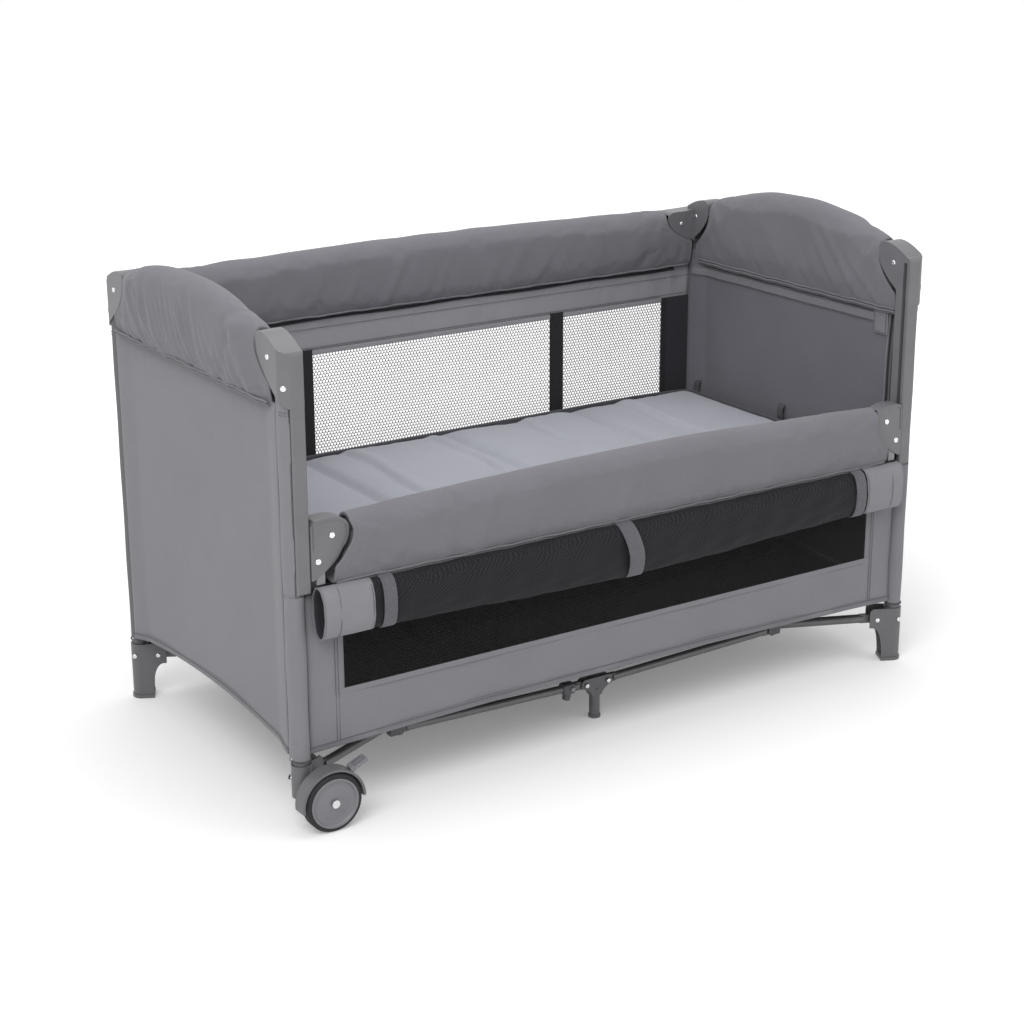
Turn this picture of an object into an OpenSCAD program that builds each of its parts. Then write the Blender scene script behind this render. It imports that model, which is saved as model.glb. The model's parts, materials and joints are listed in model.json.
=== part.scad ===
// Bedside travel cot with one lowered long side, on an umbrella-folding tube frame.
// Millimetres, +Z up. The origin is on the floor, midway between the four posts.
// +X runs along the cot, -Y is the lowered side, +Y is the tall back.

/* [Frame] */
// Post spacing along the cot
span_x = 1210; // [1100:10:1320]
// Post spacing across the cot
span_y = 600; // [560:10:680]
// Outer diameter of the corner posts
post_d = 25; // [22:1:28]
// Wall of every steel tube
tube_wall = 1.4; // [1:0.2:2]
// Outer diameter of the top rail tubes
rail_d = 18; // [17:1:20]
// Outer diameter of the diagonal base tubes
diagonal_d = 16; // [14:1:18]
// Outer diameter of the side base tubes
side_tube_d = 14; // [12:1:16]
// Height of the end rail pivots
end_rail_z = 730; // [690:5:760]
// Height of the back rail pivots
back_rail_z = 718; // [690:5:750]
// Height of the lowered front rail pivots
side_rail_z = 462; // [440:2:480]
// Rise of the front rail when the side is closed
side_travel = 256; // [200:2:260]

/* [Fold] */
// From a post to its long rail pivot
rail_inset = 50; // [44:1:58]
// From a pivot axis up to the mid rail pin, on the long sides
mid_rise = 14; // [12:1:18]
// From a post to the diagonal tube's pivot in the foot
foot_arm = 31; // [28:1:34]
// Height of the diagonal tube's pivot in the foot
foot_pivot_z = 79; // [72:1:90]
// Distance of a side tube knuckle from the cot's middle, along the cot
knuckle_x = 388; // [340:4:420]
// Side tube axis outside the diagonal tube at the knuckle
knuckle_offset = 24; // [22:1:26]
// Rail axis outside the post axis
rail_offset = 5; // [4:1:6]
// Radius of the hinge pins
pin_r = 3; // [2.5:0.5:4]

/* [Fit] */
// Clearance of a pin in its hole and of sliding faces
clear = 0.3; // [0.2:0.1:0.5]
// Gap beside a hinge lug
side_gap = 0.4; // [0.3:0.1:0.6]

/* [Wheels] */
// Diameter over the tyre
wheel_d = 94; // [80:2:110]
// Width of the wheel
wheel_w = 22; // [18:1:26]
// Wheel axle from the post axis, along the cot
wheel_dx = 29; // [24:1:34]
// Inner face of the wheel from the post axis, across the cot
wheel_dy = 30; // [28:1:34]
// Rubber on the tread
tyre_t = 7; // [5:1:9]

/* [Fabric] */
// Top of the mattress at its edge
bed_z = 383; // [370:1:400]
// Mattress thickness at its edge
bed_t = 26; // [20:1:32]
// Thickness of the fabric walls
cloth_t = 2; // [1.5:0.5:3]
// Bottom of the fabric walls at the posts
hem_z = 112; // [108:1:125]
// Rise of the hem in the middle of an end
hem_rise_end = 24; // [0:2:40]
// Rise of the hem in the middle of a long side
hem_rise_side = 10; // [0:2:30]
// Depth of the end covers below their pivot axis
end_cover_drop = 70; // [64:1:76]
// Rise of the end covers over their pivot axis, in the middle
end_cover_rise = 78; // [60:1:90]
// Depth of the back cover below its pivot axis
back_cover_drop = 86; // [78:1:92]
// Rise of the back cover over its pivot axis, in the middle
back_cover_rise = 39; // [35:1:44]
// Depth of the front cover below its pivot axis
front_cover_drop = 78; // [70:1:90]
// Thickness of the padded covers
cover_t = 52; // [46:2:56]

/* [Hidden] */
$fn = 48;

// Half spans, and the plan angle of the diagonals
half_x = span_x / 2;
half_y = span_y / 2;
plan_angle = atan(half_y / half_x);
skew = half_y / half_x;
// Every chain of the fold keeps the same proportions, so all loops close at any angle
end_inset = rail_inset * skew;
end_rise = mid_rise * skew;
hub_reach = rail_inset / cos(plan_angle) - foot_arm;
diagonal_len = (half_x - rail_inset) / cos(plan_angle);
hub_drop = mid_rise / cos(plan_angle);
hub_z = foot_pivot_z - hub_drop;
centre_half = hub_reach * cos(plan_angle);
knuckle_share = (knuckle_x - centre_half) / (half_x - rail_inset);
knuckle_z = hub_z + knuckle_share * hub_drop;
knuckle_y = knuckle_x * skew;
side_tube_y = knuckle_y + knuckle_offset;
centre_pivot_z = knuckle_z - knuckle_share * mid_rise;
// Radii, lugs and cheeks
post_r = post_d / 2;
rail_r = rail_d / 2;
diagonal_r = diagonal_d / 2;
side_tube_r = side_tube_d / 2;
pin_above = rail_r + 2;
lug_half = 4;
cheek_t = 3.4;
cheek_in = lug_half + side_gap;
tube_back = 14;
foot_lug = 24;
end_rail_lead = 25;
ear_in = rail_r + side_gap;
ear_out = ear_in + cheek_t;
// Corner cap: round outside the post, flat inside; each ear has a nose, a crest and a foot
cap_out = 17;
cap_face = cap_out - 0.1;
cap_in = 20;
cap_roof = 8;
ear_wall = 2.6;
boss_r = 8;
end_tip = 62;
end_near = 14;
end_crest = 34;
end_drop = 72;
back_tip = 82;
back_near = 22;
back_crest = 24;
back_drop = 60;
front_cap_low = end_rail_z - end_drop;
front_cap_top = end_rail_z + end_near;
back_cap_low = min(front_cap_low, back_rail_z - back_drop);
back_cap_top = max(front_cap_top, back_rail_z + back_near);
sleeve_top = min(end_rail_z - 40, back_rail_z - 28);
// Front guide and slider
guide_low = side_rail_z - 88;
guide_in = cap_in;
slot_half = 4;
slot_depth = 7;
slider_tip = 86;
slider_top = side_rail_z + 27;
slider_low = side_rail_z - 67;
// Feet
foot_top = foot_pivot_z + 22;
socket_r = post_r + clear + 3;
post_low = 30;
wheel_post_low = 54;
// Wheel
wheel_r = wheel_d / 2;
axle_r = 4;
fender_gap = 3;
fender_t = 4;
brake_angle = 54;
// Fabric
sleeve_r = post_r + clear + 1.5;
sleeve_low = foot_top + 4;
end_sheet_x = half_x + 5;
side_sheet_y = half_y;
raised_z = bed_z - bed_t;
lower_z = hem_z + 10;
cover_end_gap = 4;
end_cover_low = end_rail_z - end_cover_drop;
back_cover_low = back_rail_z - back_cover_drop;
front_hem_z = side_rail_z - front_cover_drop;
slider_hem = 57;
window_side = 75;
window_margin = 22;
front_window_low = hem_z + 90;
back_window_low = raised_z - 7;
back_window_top = back_cover_low - 62;
roll_end_gap = 30;
roll_half_t = 19;
roll_y = side_sheet_y + cloth_t + clear + roll_half_t;
roll_low = front_hem_z - 82;
strap_w = 22;
strap_t = 1.6;
strap_len = 84;
strap_inset = 129;

// Helpers: a bend of n steps without and with its first point, and a shallow arch
function bend(p, q, r, n) = [for (i = [1:n]) let (t = i / n)
    (1 - t) * (1 - t) * p + 2 * t * (1 - t) * q + t * t * r];
function curve(p, q, r, n) = concat([p], bend(p, q, r, n));
function arch(x, half, low, high) = low + (high - low) * (1 - pow(x / half, 2));

// Puts a piece drawn round a post, with +X and +Y pointing into the cot, at one corner
module corner(sx, sy) {
    translate([sx * half_x, sy * half_y, 0])
        mirror([sx > 0 ? 1 : 0, 0, 0])
            mirror([0, sy > 0 ? 1 : 0, 0])
                children();
}

// Same for a piece drawn in the front-left quarter about the cot's middle
module quarter(sx, sy) {
    mirror([sx > 0 ? 1 : 0, 0, 0])
        mirror([0, sy > 0 ? 1 : 0, 0])
            children();
}

module rounded_rect(x0, x1, y0, y1, r) {
    translate([x0 + r, y0]) square([x1 - x0 - 2 * r, y1 - y0]);
    translate([x0, y0 + r]) square([x1 - x0, y1 - y0 - 2 * r]);
    for (x = [x0 + r, x1 - r], y = [y0 + r, y1 - r])
        translate([x, y]) circle(r);
}

// A plate whose outline is drawn in X and Z, between two planes of Y
module plate_y(y0, y1) {
    translate([0, y1, 0]) rotate([90, 0, 0]) linear_extrude(y1 - y0) children();
}

// A plate whose outline is drawn in Y and Z, between two planes of X
module plate_x(x0, x1) {
    translate([x0, 0, 0]) rotate([90, 0, 90]) linear_extrude(x1 - x0) children();
}

module rod_y(r, y0, y1) {
    translate([0, y1, 0]) rotate([90, 0, 0]) cylinder(r = r, h = y1 - y0);
}

module rod_x(r, x0, x1) {
    translate([x0, 0, 0]) rotate([0, 90, 0]) cylinder(r = r, h = x1 - x0);
}

// A tube along X that ends in two drilled lugs; its pivots lie at x = 0 and x = len
module lugged_tube(len, r, far_lug) {
    difference() {
        union() {
            rod_x(r, tube_back, len - far_lug);
            for (x = [0, len])
                translate([x, 0, 0]) rod_y(r, -lug_half, lug_half);
            translate([0, -lug_half, -r]) cube([tube_back + 6, 2 * lug_half, 2 * r]);
            translate([len - far_lug - 6, -lug_half, -r]) cube([far_lug + 6, 2 * lug_half, 2 * r]);
        }
        rod_x(r - tube_wall, tube_back + 10, len - far_lug - 10);
        for (x = [0, len])
            translate([x, 0, 0]) rod_y(pin_r + clear, -lug_half - 1, lug_half + 1);
    }
}

// Frame that runs from the hub pivot towards the front-left foot, falling to the hub
module along_diagonal() {
    translate([-centre_half, -centre_half * skew, hub_z])
        rotate([0, 0, 180 + plan_angle])
            rotate([0, -atan(hub_drop / diagonal_len), 0])
                children();
}

// The four-way hub that is pulled up to fold the cot
module hub() {
    arm_in = 8 + cheek_in;
    color("dimgray") difference() {
        union() {
            translate([0, 0, hub_z - 11]) cylinder(r = 21, h = 24);
            translate([0, 0, hub_z + 13]) cylinder(r = 15, h = 5);
            for (sx = [-1, 1], sy = [-1, 1]) quarter(sx, sy)
                rotate([0, 0, 180 + plan_angle]) translate([0, 0, hub_z]) {
                    translate([0, -cheek_in - cheek_t, -9])
                        cube([hub_reach, 2 * (cheek_in + cheek_t), 18]);
                    translate([hub_reach, 0, 0]) rod_y(9, -cheek_in - cheek_t, cheek_in + cheek_t);
                }
        }
        for (sx = [-1, 1], sy = [-1, 1]) quarter(sx, sy)
            rotate([0, 0, 180 + plan_angle])
                translate([arm_in, -cheek_in, hub_z - 20])
                    cube([60, 2 * cheek_in, 32]);
    }
    color("silver") for (sx = [-1, 1], sy = [-1, 1]) quarter(sx, sy)
        rotate([0, 0, 180 + plan_angle]) translate([hub_reach, 0, hub_z])
            rod_y(pin_r, -cheek_in - cheek_t, cheek_in + cheek_t);
}

module diagonal(sx, sy) {
    tilted_len = sqrt(pow(diagonal_len, 2) + pow(hub_drop, 2));
    color("silver") quarter(sx, sy) difference() {
        along_diagonal() lugged_tube(tilted_len, diagonal_r, foot_lug);
        at_knuckle() rotate([0, 0, plan_angle])
            rod_y(pin_r + clear, -diagonal_r - 1, diagonal_r + 1);
    }
}

module at_knuckle() {
    translate([-knuckle_x, -knuckle_y, knuckle_z]) children();
}

// Moulded link that stays level between a diagonal and a side tube
module knuckle(sx, sy) {
    plate_n = diagonal_r + side_gap;
    inner = knuckle_offset - cheek_in;
    outer = knuckle_offset + cheek_in;
    color("dimgray") quarter(sx, sy) at_knuckle() difference() {
        union() {
            rotate([0, 0, plan_angle]) rod_y(10, -plate_n - cheek_t, -plate_n + 1);
            rod_y(9, -inner, 0);
            rod_y(9, -outer - cheek_t, -outer);
            translate([-17, -outer - cheek_t, -8]) cube([6, outer + cheek_t, 16]);
            translate([-17, -outer - cheek_t, -8]) cube([17, cheek_t, 16]);
            translate([-17, -inner, -8]) cube([17, inner, 16]);
            rod_y(pin_r, -outer - 1, -inner + 1);
        }
        rotate([0, 0, plan_angle]) translate([-40, -plate_n, -20]) cube([80, 60, 40]);
    }
    color("silver") quarter(sx, sy) at_knuckle() rotate([0, 0, plan_angle]) {
        rod_y(pin_r, -plate_n - 1, diagonal_r + 2);
        rod_y(pin_r + 2, diagonal_r + side_gap, diagonal_r + 2);
    }
}

// Long base tube from a knuckle to the centre foot
module side_tube(sx, sy) {
    run = knuckle_x - centre_half;
    drop = knuckle_share * mid_rise;
    color("silver") quarter(sx, sy)
        translate([-knuckle_x, -side_tube_y, knuckle_z])
            rotate([0, atan(drop / run), 0])
                lugged_tube(sqrt(run * run + drop * drop), side_tube_r, tube_back);
}

// T-shaped foot at the middle of a long side
module centre_foot(sy) {
    leg_r = 9.2;
    half_w = centre_half + 9;
    top = centre_pivot_z + 10;
    mid = centre_pivot_z - 11;
    color("dimgray") quarter(-1, sy) translate([0, -side_tube_y, 0]) {
        difference() {
            union() {
                plate_y(-cheek_in - cheek_t, cheek_in + cheek_t) for (s = [0, 1]) mirror([s, 0])
                    polygon(concat(
                        [[0, top], [half_w - 5, top], [half_w, top - 5]],
                        curve([half_w, mid + 5], [leg_r + 6, mid + 2], [leg_r, mid - 12], 6),
                        [[0, mid - 12]]));
                cylinder(r = leg_r, h = mid);
                cylinder(r = leg_r + 1.4, h = 5);
            }
            for (s = [-1, 1]) translate([s > 0 ? 8 : -60, -cheek_in, mid - 30])
                cube([52, 2 * cheek_in, 60]);
        }
        for (s = [-1, 1]) translate([s * centre_half, 0, centre_pivot_z])
            rod_y(pin_r, -cheek_in - 1, cheek_in + 1);
    }
}

function post_start(sx, sy) = sx == sy ? wheel_post_low : post_low;

module post(sx, sy) {
    low = post_start(sx, sy);
    len = (sy < 0 ? front_cap_top : back_cap_top) - cap_roof - low;
    color("silver") corner(sx, sy) translate([0, 0, low]) difference() {
        cylinder(r = post_r, h = len);
        translate([0, 0, -1]) cylinder(r = post_r - tube_wall, h = len + 2);
    }
}

// Underside of an ear, from its nose down past the post: distance from the post axis, height
function ear_under(z, tip, drop, gap) =
    curve([tip + gap, z + 8], [tip - 4 + gap, z - 14 - gap], [cap_in + gap, z - 0.58 * drop - gap], 8);

// Side view of a cap's ear: from high over the post up to a crest and a round nose,
// then down to low at the post's outside. z is its rail's pivot.
module ear_outline(z, tip, high, crest, low) {
    outer = -cap_out - 1;
    polygon(concat(
        curve([outer, high - 13], [-cap_out, high - 1], [9 - cap_out, high], 5),
        bend([9 - cap_out, high], [0.4 * tip, z + crest], [tip - 16, z + crest], 6),
        bend([tip - 16, z + crest], [tip, z + crest], [tip, z + crest - 12], 5),
        ear_under(z, tip, z - low, 0),
        [[outer, low]]));
}

// What a padded cover leaves free round an ear, out past the post
module ear_room(z, tip, drop) {
    gap = cover_end_gap;
    polygon(concat(
        [[-cap_out, z + 90], [tip + gap, z + 90]],
        ear_under(z, tip, drop, gap),
        [[cap_in + gap, z - 120], [-cap_out, z - 120]]));
}

module end_ear_outline(sy) {
    ear_outline(end_rail_z, end_tip, sy < 0 ? front_cap_top : back_cap_top, end_crest,
        sy < 0 ? front_cap_low : back_cap_low);
}

module back_ear_outline() {
    ear_outline(back_rail_z, back_tip, back_cap_top, back_crest, back_cap_low);
}

// Solid ear along +X from the post axis to its nose, before its slot is cut
module ear_body(tip, low, high) {
    intersection() {
        translate([-1.5, -cap_face, low - 1]) cube([tip + 3, cap_face + cap_in, high - low + end_crest]);
        plate_y(-cap_out - 1, cap_in + 1) children();
    }
}

// Room for the rail between the cheeks, with a boss left round the pin
module ear_slot(z, low, reach, inset) {
    difference() {
        translate([reach, -rail_offset - ear_in, low - 1])
            cube([90, rail_offset + ear_in + cap_in - ear_wall, z - low + rail_r + 10]);
        translate([inset, 0, z]) rod_y(boss_r, ear_in - rail_offset, cap_in);
    }
}

module ear_pin(z, inset) {
    translate([inset, -rail_offset, z]) rod_y(pin_r + 1, -ear_in - 1, ear_in + 1);
}

// Plan of a front cap over the post: round outside, flat in front, soft at the inner edge
module front_plan() {
    soft = 3;
    circle(cap_out);
    translate([-1.5, -cap_face]) square([cap_in + 1.5 - soft, 24]);
    translate([-1.5, soft - cap_face]) square([cap_in + 1.5, 24 - soft]);
    translate([cap_in - soft, soft - cap_face]) circle(soft);
}

// Solid of a cap: a round block over the post, cut by the outlines of its ears
module cap_body(sy) {
    low = sy < 0 ? front_cap_low : back_cap_low;
    high = sy < 0 ? front_cap_top : back_cap_top;
    mirror([1, -1, 0]) ear_body(end_tip, low, high) end_ear_outline(sy);
    if (sy > 0) {
        ear_body(back_tip, low, high) back_ear_outline();
        intersection() {
            translate([0, 0, low - 1]) cylinder(r = cap_out, h = high - low + end_crest);
            plate_x(-cap_out - 1, cap_in) end_ear_outline(sy);
            plate_y(-cap_out - 1, cap_in) back_ear_outline();
        }
    }
    if (sy < 0) intersection() {
        translate([0, 0, low - 1]) linear_extrude(high - low + end_crest) front_plan();
        plate_x(-cap_out - 1, cap_in + 1) end_ear_outline(sy);
    }
}

// Corner moulding: a block on the post with one ear per rail
module cap(sx, sy) {
    start = post_start(sx, sy);
    low = sy < 0 ? front_cap_low : back_cap_low;
    high = sy < 0 ? front_cap_top : back_cap_top;
    color("gray") corner(sx, sy) difference() {
        union() {
            cap_body(sy);
            if (sy < 0) guide();
        }
        mirror([1, -1, 0]) ear_slot(end_rail_z, low, post_r + clear, end_inset);
        if (sy > 0) ear_slot(back_rail_z, low, cap_in, rail_inset);
        translate([0, 0, start]) cylinder(r = post_r + clear, h = high - cap_roof - start);
        if (sy < 0) guide_slot();
    }
    color("silver") corner(sx, sy) {
        mirror([1, -1, 0]) ear_pin(end_rail_z, end_inset);
        if (sy > 0) ear_pin(back_rail_z, rail_inset);
    }
}

// Slotted channel in which the lowered side's slider runs
module guide() {
    soft = 6;
    high = front_cap_low + 30;
    intersection() {
        translate([0, 0, guide_low]) linear_extrude(high - guide_low)
            rounded_rect(-4, guide_in - 0.2, 0.3 - cap_face, cap_face, 3);
        plate_x(-5, guide_in + 1)
            rounded_rect(-cap_face, cap_face + clear, guide_low, high + 2 * soft, soft);
    }
}

module guide_slot() {
    translate([guide_in - slot_depth, -rail_offset - slot_half, guide_low + 8])
        cube([slot_depth + 1, 2 * slot_half, front_cap_top - guide_low - 18]);
}

// Turns drawing so that +X points along the foot's arm, towards the hub
module along_arm() {
    rotate([0, 0, plan_angle]) children();
}

// Side of a corner moulding's arm: distance from the post axis, height. It starts at back;
// its underside is an arch from the clevis down to low, reach away from the post axis.
module arm_side(back, reach, low) {
    tip = foot_arm + 14;
    under = foot_pivot_z - 15;
    polygon(concat(
        [[back, foot_top - 1], [tip - 5, foot_top - 1], [tip, foot_top - 6], [tip, under]],
        curve([tip - 4, under], [reach, under], [reach, low], 10),
        [[back, low]]));
}

// Gap of the clevis and the pin across it
module arm_slot() {
    along_arm() translate([socket_r + 1, -cheek_in, foot_pivot_z - foot_lug])
        cube([60, 2 * cheek_in, 2 * foot_lug]);
}

module arm_pin() {
    color("silver") along_arm() translate([foot_arm, 0, foot_pivot_z])
        rod_y(pin_r, -cheek_in - 1, cheek_in + 1);
}

module post_bore(low) {
    translate([0, 0, low]) cylinder(r = post_r + clear, h = foot_top);
}

// Hollow between a foot's two plates, with bosses left round the pin
module foot_hollow() {
    wall = 2.6;
    along_arm() difference() {
        translate([post_r + clear + 1.5, wall - socket_r, 8])
            cube([60, 2 * (socket_r - wall), foot_top]);
        for (s = [0, 1]) mirror([0, s, 0]) translate([foot_arm, 0, foot_pivot_z])
            rod_y(boss_r, cheek_in, socket_r);
    }
}

// Plan of a foot: round at the post, flat-sided towards the hub
module foot_plan(r, len) {
    circle(r);
    translate([0, 0.1 - r]) square([len, 2 * (r - 0.1)]);
}

// Plain moulded foot: two flat plates round the post, arched under the arm, on a rimmed leg
module foot(sx, sy) {
    leg_in = 20;
    color("dimgray") corner(sx, sy) difference() {
        along_arm() {
            intersection() {
                linear_extrude(foot_top) foot_plan(socket_r, foot_arm + 20);
                plate_y(-socket_r - 1, socket_r + 1) arm_side(-socket_r - 1, leg_in, 0);
            }
            linear_extrude(6) foot_plan(socket_r + 1.8, leg_in + 1);
        }
        post_bore(post_low);
        foot_hollow();
    }
    corner(sx, sy) arm_pin();
}

// Corner moulding that carries the wheel: socket, arm, back plate and fender
module wheel_housing(sx, sy) {
    inner_y = -wheel_dy + 2;
    side = cheek_in + cheek_t;
    socket_low = wheel_post_low - 6;
    color("dimgray") corner(sx, sy) difference() {
        union() {
            translate([0, 0, socket_low]) cylinder(r = socket_r, h = foot_top - socket_low);
            along_arm() plate_y(-side, side) arm_side(0, socket_r - 4, socket_low);
            plate_y(inner_y, inner_y + fender_t) fender_face();
            plate_y(-wheel_dy - wheel_w + 2, inner_y + 1) fender_band();
            translate([wheel_dx, 0, wheel_r]) rod_y(11, inner_y + 1, inner_y + 12);
            translate([0, inner_y + 1, socket_low]) cube([wheel_dx, 16, 20]);
        }
        post_bore(wheel_post_low);
        arm_slot();
        translate([wheel_dx, 0, wheel_r]) rod_y(axle_r + clear, -wheel_dy - 2, 1);
    }
    corner(sx, sy) arm_pin();
}

// Fender arc from behind the wheel, over its top and down in front
module fender_band() {
    difference() {
        translate([wheel_dx, wheel_r]) circle(wheel_r + fender_gap + fender_t);
        translate([wheel_dx, wheel_r]) circle(wheel_r + fender_gap);
        fender_cut();
    }
}

module fender_face() {
    difference() {
        translate([wheel_dx, wheel_r]) circle(wheel_r + fender_gap + fender_t);
        fender_cut();
    }
}

module fender_cut() {
    polygon([[-60, -20], [-60, wheel_r - 6], [-6, wheel_r - 6], [wheel_dx, wheel_r - 8],
        [wheel_dx + 90, wheel_r + 6], [wheel_dx + 90, -20]]);
}

module axle(sx, sy) {
    color("silver") corner(sx, sy) translate([wheel_dx, 0, wheel_r]) {
        rod_y(axle_r, -wheel_dy - wheel_w - 1, -wheel_dy + 8);
        rod_y(axle_r + 2.5, -wheel_dy - wheel_w - 2.5, -wheel_dy - wheel_w - 0.4);
    }
}

// Dished wheel centre with a raised rim
module wheel(sx, sy) {
    rim_r = wheel_r - tyre_t;
    color("gray") corner(sx, sy) translate([wheel_dx, -wheel_dy, wheel_r])
        rotate([90, 0, 0]) rotate_extrude() polygon([
            [axle_r + clear, 0], [rim_r, 0], [rim_r, wheel_w], [rim_r - 3, wheel_w],
            [rim_r - 5, wheel_w - 3], [rim_r - 12, wheel_w - 4], [12, wheel_w - 2],
            [axle_r + clear, wheel_w - 2]]);
}

module tyre(sx, sy) {
    rim_r = wheel_r - tyre_t;
    color("black") corner(sx, sy) translate([wheel_dx, -wheel_dy, wheel_r])
        rotate([90, 0, 0]) rotate_extrude() polygon([
            [rim_r, 1], [wheel_r - 3, 1], [wheel_r, 4], [wheel_r, wheel_w - 4],
            [wheel_r - 3, wheel_w - 1], [rim_r, wheel_w - 1]]);
}

// Brake pedal, hinged on the fender: a flat tab with two ribs
module brake(sx, sy) {
    color("gray") corner(sx, sy) at_brake() {
        rod_y(5, -7, 7);
        rotate([0, -24, 0]) translate([0, 0, -3]) {
            linear_extrude(6) rounded_rect(0, 26, -9, 9, 3.8);
            for (s = [-1, 1]) translate([5, 4 * s - 1.4, 3]) cube([15, 2.8, 5]);
        }
    }
}

module at_brake() {
    a = brake_angle;
    reach = wheel_r + fender_gap + fender_t + 5.4;
    translate([wheel_dx + reach * cos(a), -wheel_dy - wheel_w / 2, wheel_r + reach * sin(a)])
        children();
}

// Half of a hinged top rail along +X from its ear pivot to the mid pin.
// rise is the mid pin's height over the ear pivot. The tube starts lead past the ear pivot,
// and a half with two lugs and the pin is forked.
module rail_half(run, rise, forked, lead) {
    axis_z = rise - pin_above;
    stop = 9;
    difference() {
        union() {
            translate([0, 0, axis_z]) rod_x(rail_r, lead, run - stop);
            if (lead > 0) {
                rod_y(8, -rail_r + 1, rail_r - 1);
                translate([0, -8, -8]) cube([lead + 6, 16, 14]);
            }
            translate([run, 0, rise]) hinge_lugs(forked, stop);
        }
        translate([0, 0, axis_z]) rod_x(rail_r - tube_wall, max(lead, 0) + 14, run - stop - 20);
        rod_y(pin_r + 1 + clear, -rail_r - 1, rail_r + 1);
        if (!forked) translate([run, 0, rise]) rod_y(pin_r + clear, -10, 10);
    }
}

// Lugs round the mid pin: two outer ones with the pin, or the single one between
module hinge_lugs(forked, stop) {
    for (s = forked ? [-1, 1] : [0])
        translate([0, s * 6, 0]) plate_y(-2.6, 2.6) {
            circle(6);
            polygon([[0, 6], [-stop - 18, 0.5], [-stop - 18, -pin_above - 2], [-stop, -pin_above - 2],
                [-stop, -6], [0, -6]]);
        }
    if (forked) rod_y(pin_r, -8, 8);
}

module end_rail(sx, sy) {
    color("silver") quarter(sx, sy)
        translate([-half_x - rail_offset, -half_y + end_inset, end_rail_z])
            rotate([0, 0, 90])
                rail_half(half_y - end_inset, end_rise, sy < 0, end_rail_lead);
}

module back_rail(sx) {
    color("silver") quarter(sx, -1)
        translate([-half_x + rail_inset, half_y + rail_offset, back_rail_z])
            rail_half(half_x - rail_inset, mid_rise, sx < 0, -10);
}

module front_rail(sx) {
    color("silver") quarter(sx, -1)
        translate([-half_x + rail_inset, -half_y - rail_offset, side_rail_z])
            rail_half(half_x - rail_inset, mid_rise, sx < 0, -10);
}

// Side view of the slider's ear: distance from the post axis, height
module slider_outline() {
    polygon(concat(
        [[guide_in + clear, slider_low], [guide_in + clear, slider_top - 12]],
        curve([guide_in + 6, slider_top - 2], [slider_tip - 26, slider_top + 4],
            [slider_tip - 8, slider_top - 8], 6),
        curve([slider_tip - 4, slider_top - 14], [slider_tip + 3, side_rail_z - 4],
            [slider_tip - 14, side_rail_z - 26], 6),
        curve([slider_tip - 22, side_rail_z - 38], [48, slider_low + 12],
            [guide_in + clear + 4, slider_low], 6)));
}

// Thicker edge along the top and the nose of the slider's ear
module slider_rim() {
    intersection() {
        difference() {
            slider_outline();
            offset(delta = -4) slider_outline();
        }
        translate([guide_in + 4, side_rail_z - 20]) square([100, 60]);
    }
}

// What the front cover leaves free round the slider's ear
module slider_room() {
    tip = slider_tip + cover_end_gap;
    polygon(concat(
        [[0, side_rail_z + 60], [tip, side_rail_z + 60]],
        curve([tip, side_rail_z - 6], [slider_tip - 6, side_rail_z - 30], [slider_hem, slider_low + 15], 8),
        [[slider_hem, slider_low - 40], [0, slider_low - 40]]));
}

// Front side's end moulding, which slides in the guide and carries the front rail
module slider(sx) {
    color("gray") corner(sx, -1) {
        difference() {
            union() {
                plate_y(-rail_offset - ear_out, -rail_offset + ear_out) slider_outline();
                plate_y(-rail_offset - ear_out - 1.2, -rail_offset + ear_out + 1.2) slider_rim();
            }
            translate([guide_in + 8, -rail_offset - ear_in, slider_low - 1])
                cube([80, 2 * ear_in, slider_top - slider_low - 6]);
        }
        translate([guide_in - slot_depth + 1, -rail_offset - slot_half + side_gap, slider_low + 6])
            cube([slot_depth + 2, 2 * (slot_half - side_gap), slider_top - slider_low - 30]);
        translate([rail_inset, -rail_offset, side_rail_z]) rod_y(pin_r + 1, -ear_in - 1, ear_in + 1);
    }
}

// Release button under the slider's ear, pressed upwards
module slider_button(sx) {
    color("lightgray") corner(sx, -1)
        translate([guide_in + 10, -rail_offset - ear_in + side_gap, slider_low - 9])
            cube([14, 2 * (ear_in - side_gap), 24]);
}

// Padded cover as a closed skin over stations along X.
// ring(x) gives the outline in Y and Z; every ring has the same count of points.
module swept(rings) {
    n = len(rings);
    m = len(rings[0]);
    points = [for (r = rings, p = r) p];
    sides = [for (i = [0:n - 2], j = [0:m - 1]) let (k = (j + 1) % m)
        each [[i * m + j, (i + 1) * m + j, i * m + k],
              [i * m + k, (i + 1) * m + j, (i + 1) * m + k]]];
    first = [for (j = [1:m - 2]) [0, j, j + 1]];
    last = [for (j = [1:m - 2]) [(n - 1) * m, (n - 1) * m + j + 1, (n - 1) * m + j]];
    polyhedron(points = points, faces = concat(sides, first, last));
}

// Pear-shaped section of a rail cover: full and round above, drawn in to the hem
function cover_ring(x, low, high, full, hem) = let (
        r = full / 2,
        steps = 10,
        top = high - r)
    concat(
        [for (i = [0:steps]) let (a = 180 * i / steps) [x, r * cos(a), top + r * sin(a)]],
        [[x, -r * 0.86, (top + low) / 2], [x, -hem / 2, low], [x, hem / 2, low],
            [x, r * 0.86, (top + low) / 2]]);

// Cover along X; its top falls from mid_high to end_high at a distance of shoulder
module padded_cover(half, shoulder, low, end_high, mid_high) {
    stations = 30;
    swept([for (i = [0:stations]) let (
        x = -half + 2 * half * i / stations,
        edge = 1 - 0.04 * pow(abs(x) / half, 8))
        cover_ring(x, low, arch(x, shoulder, end_high, mid_high), cover_t * edge, 30)]);
}

// Space inside a cover for the rail tube and its mid hinge
module rail_tunnel(half, axis_z) {
    translate([-half - 1, -rail_r - clear, axis_z - rail_r - clear])
        cube([2 * half + 2, 2 * (rail_r + clear), 2 * (rail_r + clear) + 9]);
}

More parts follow.
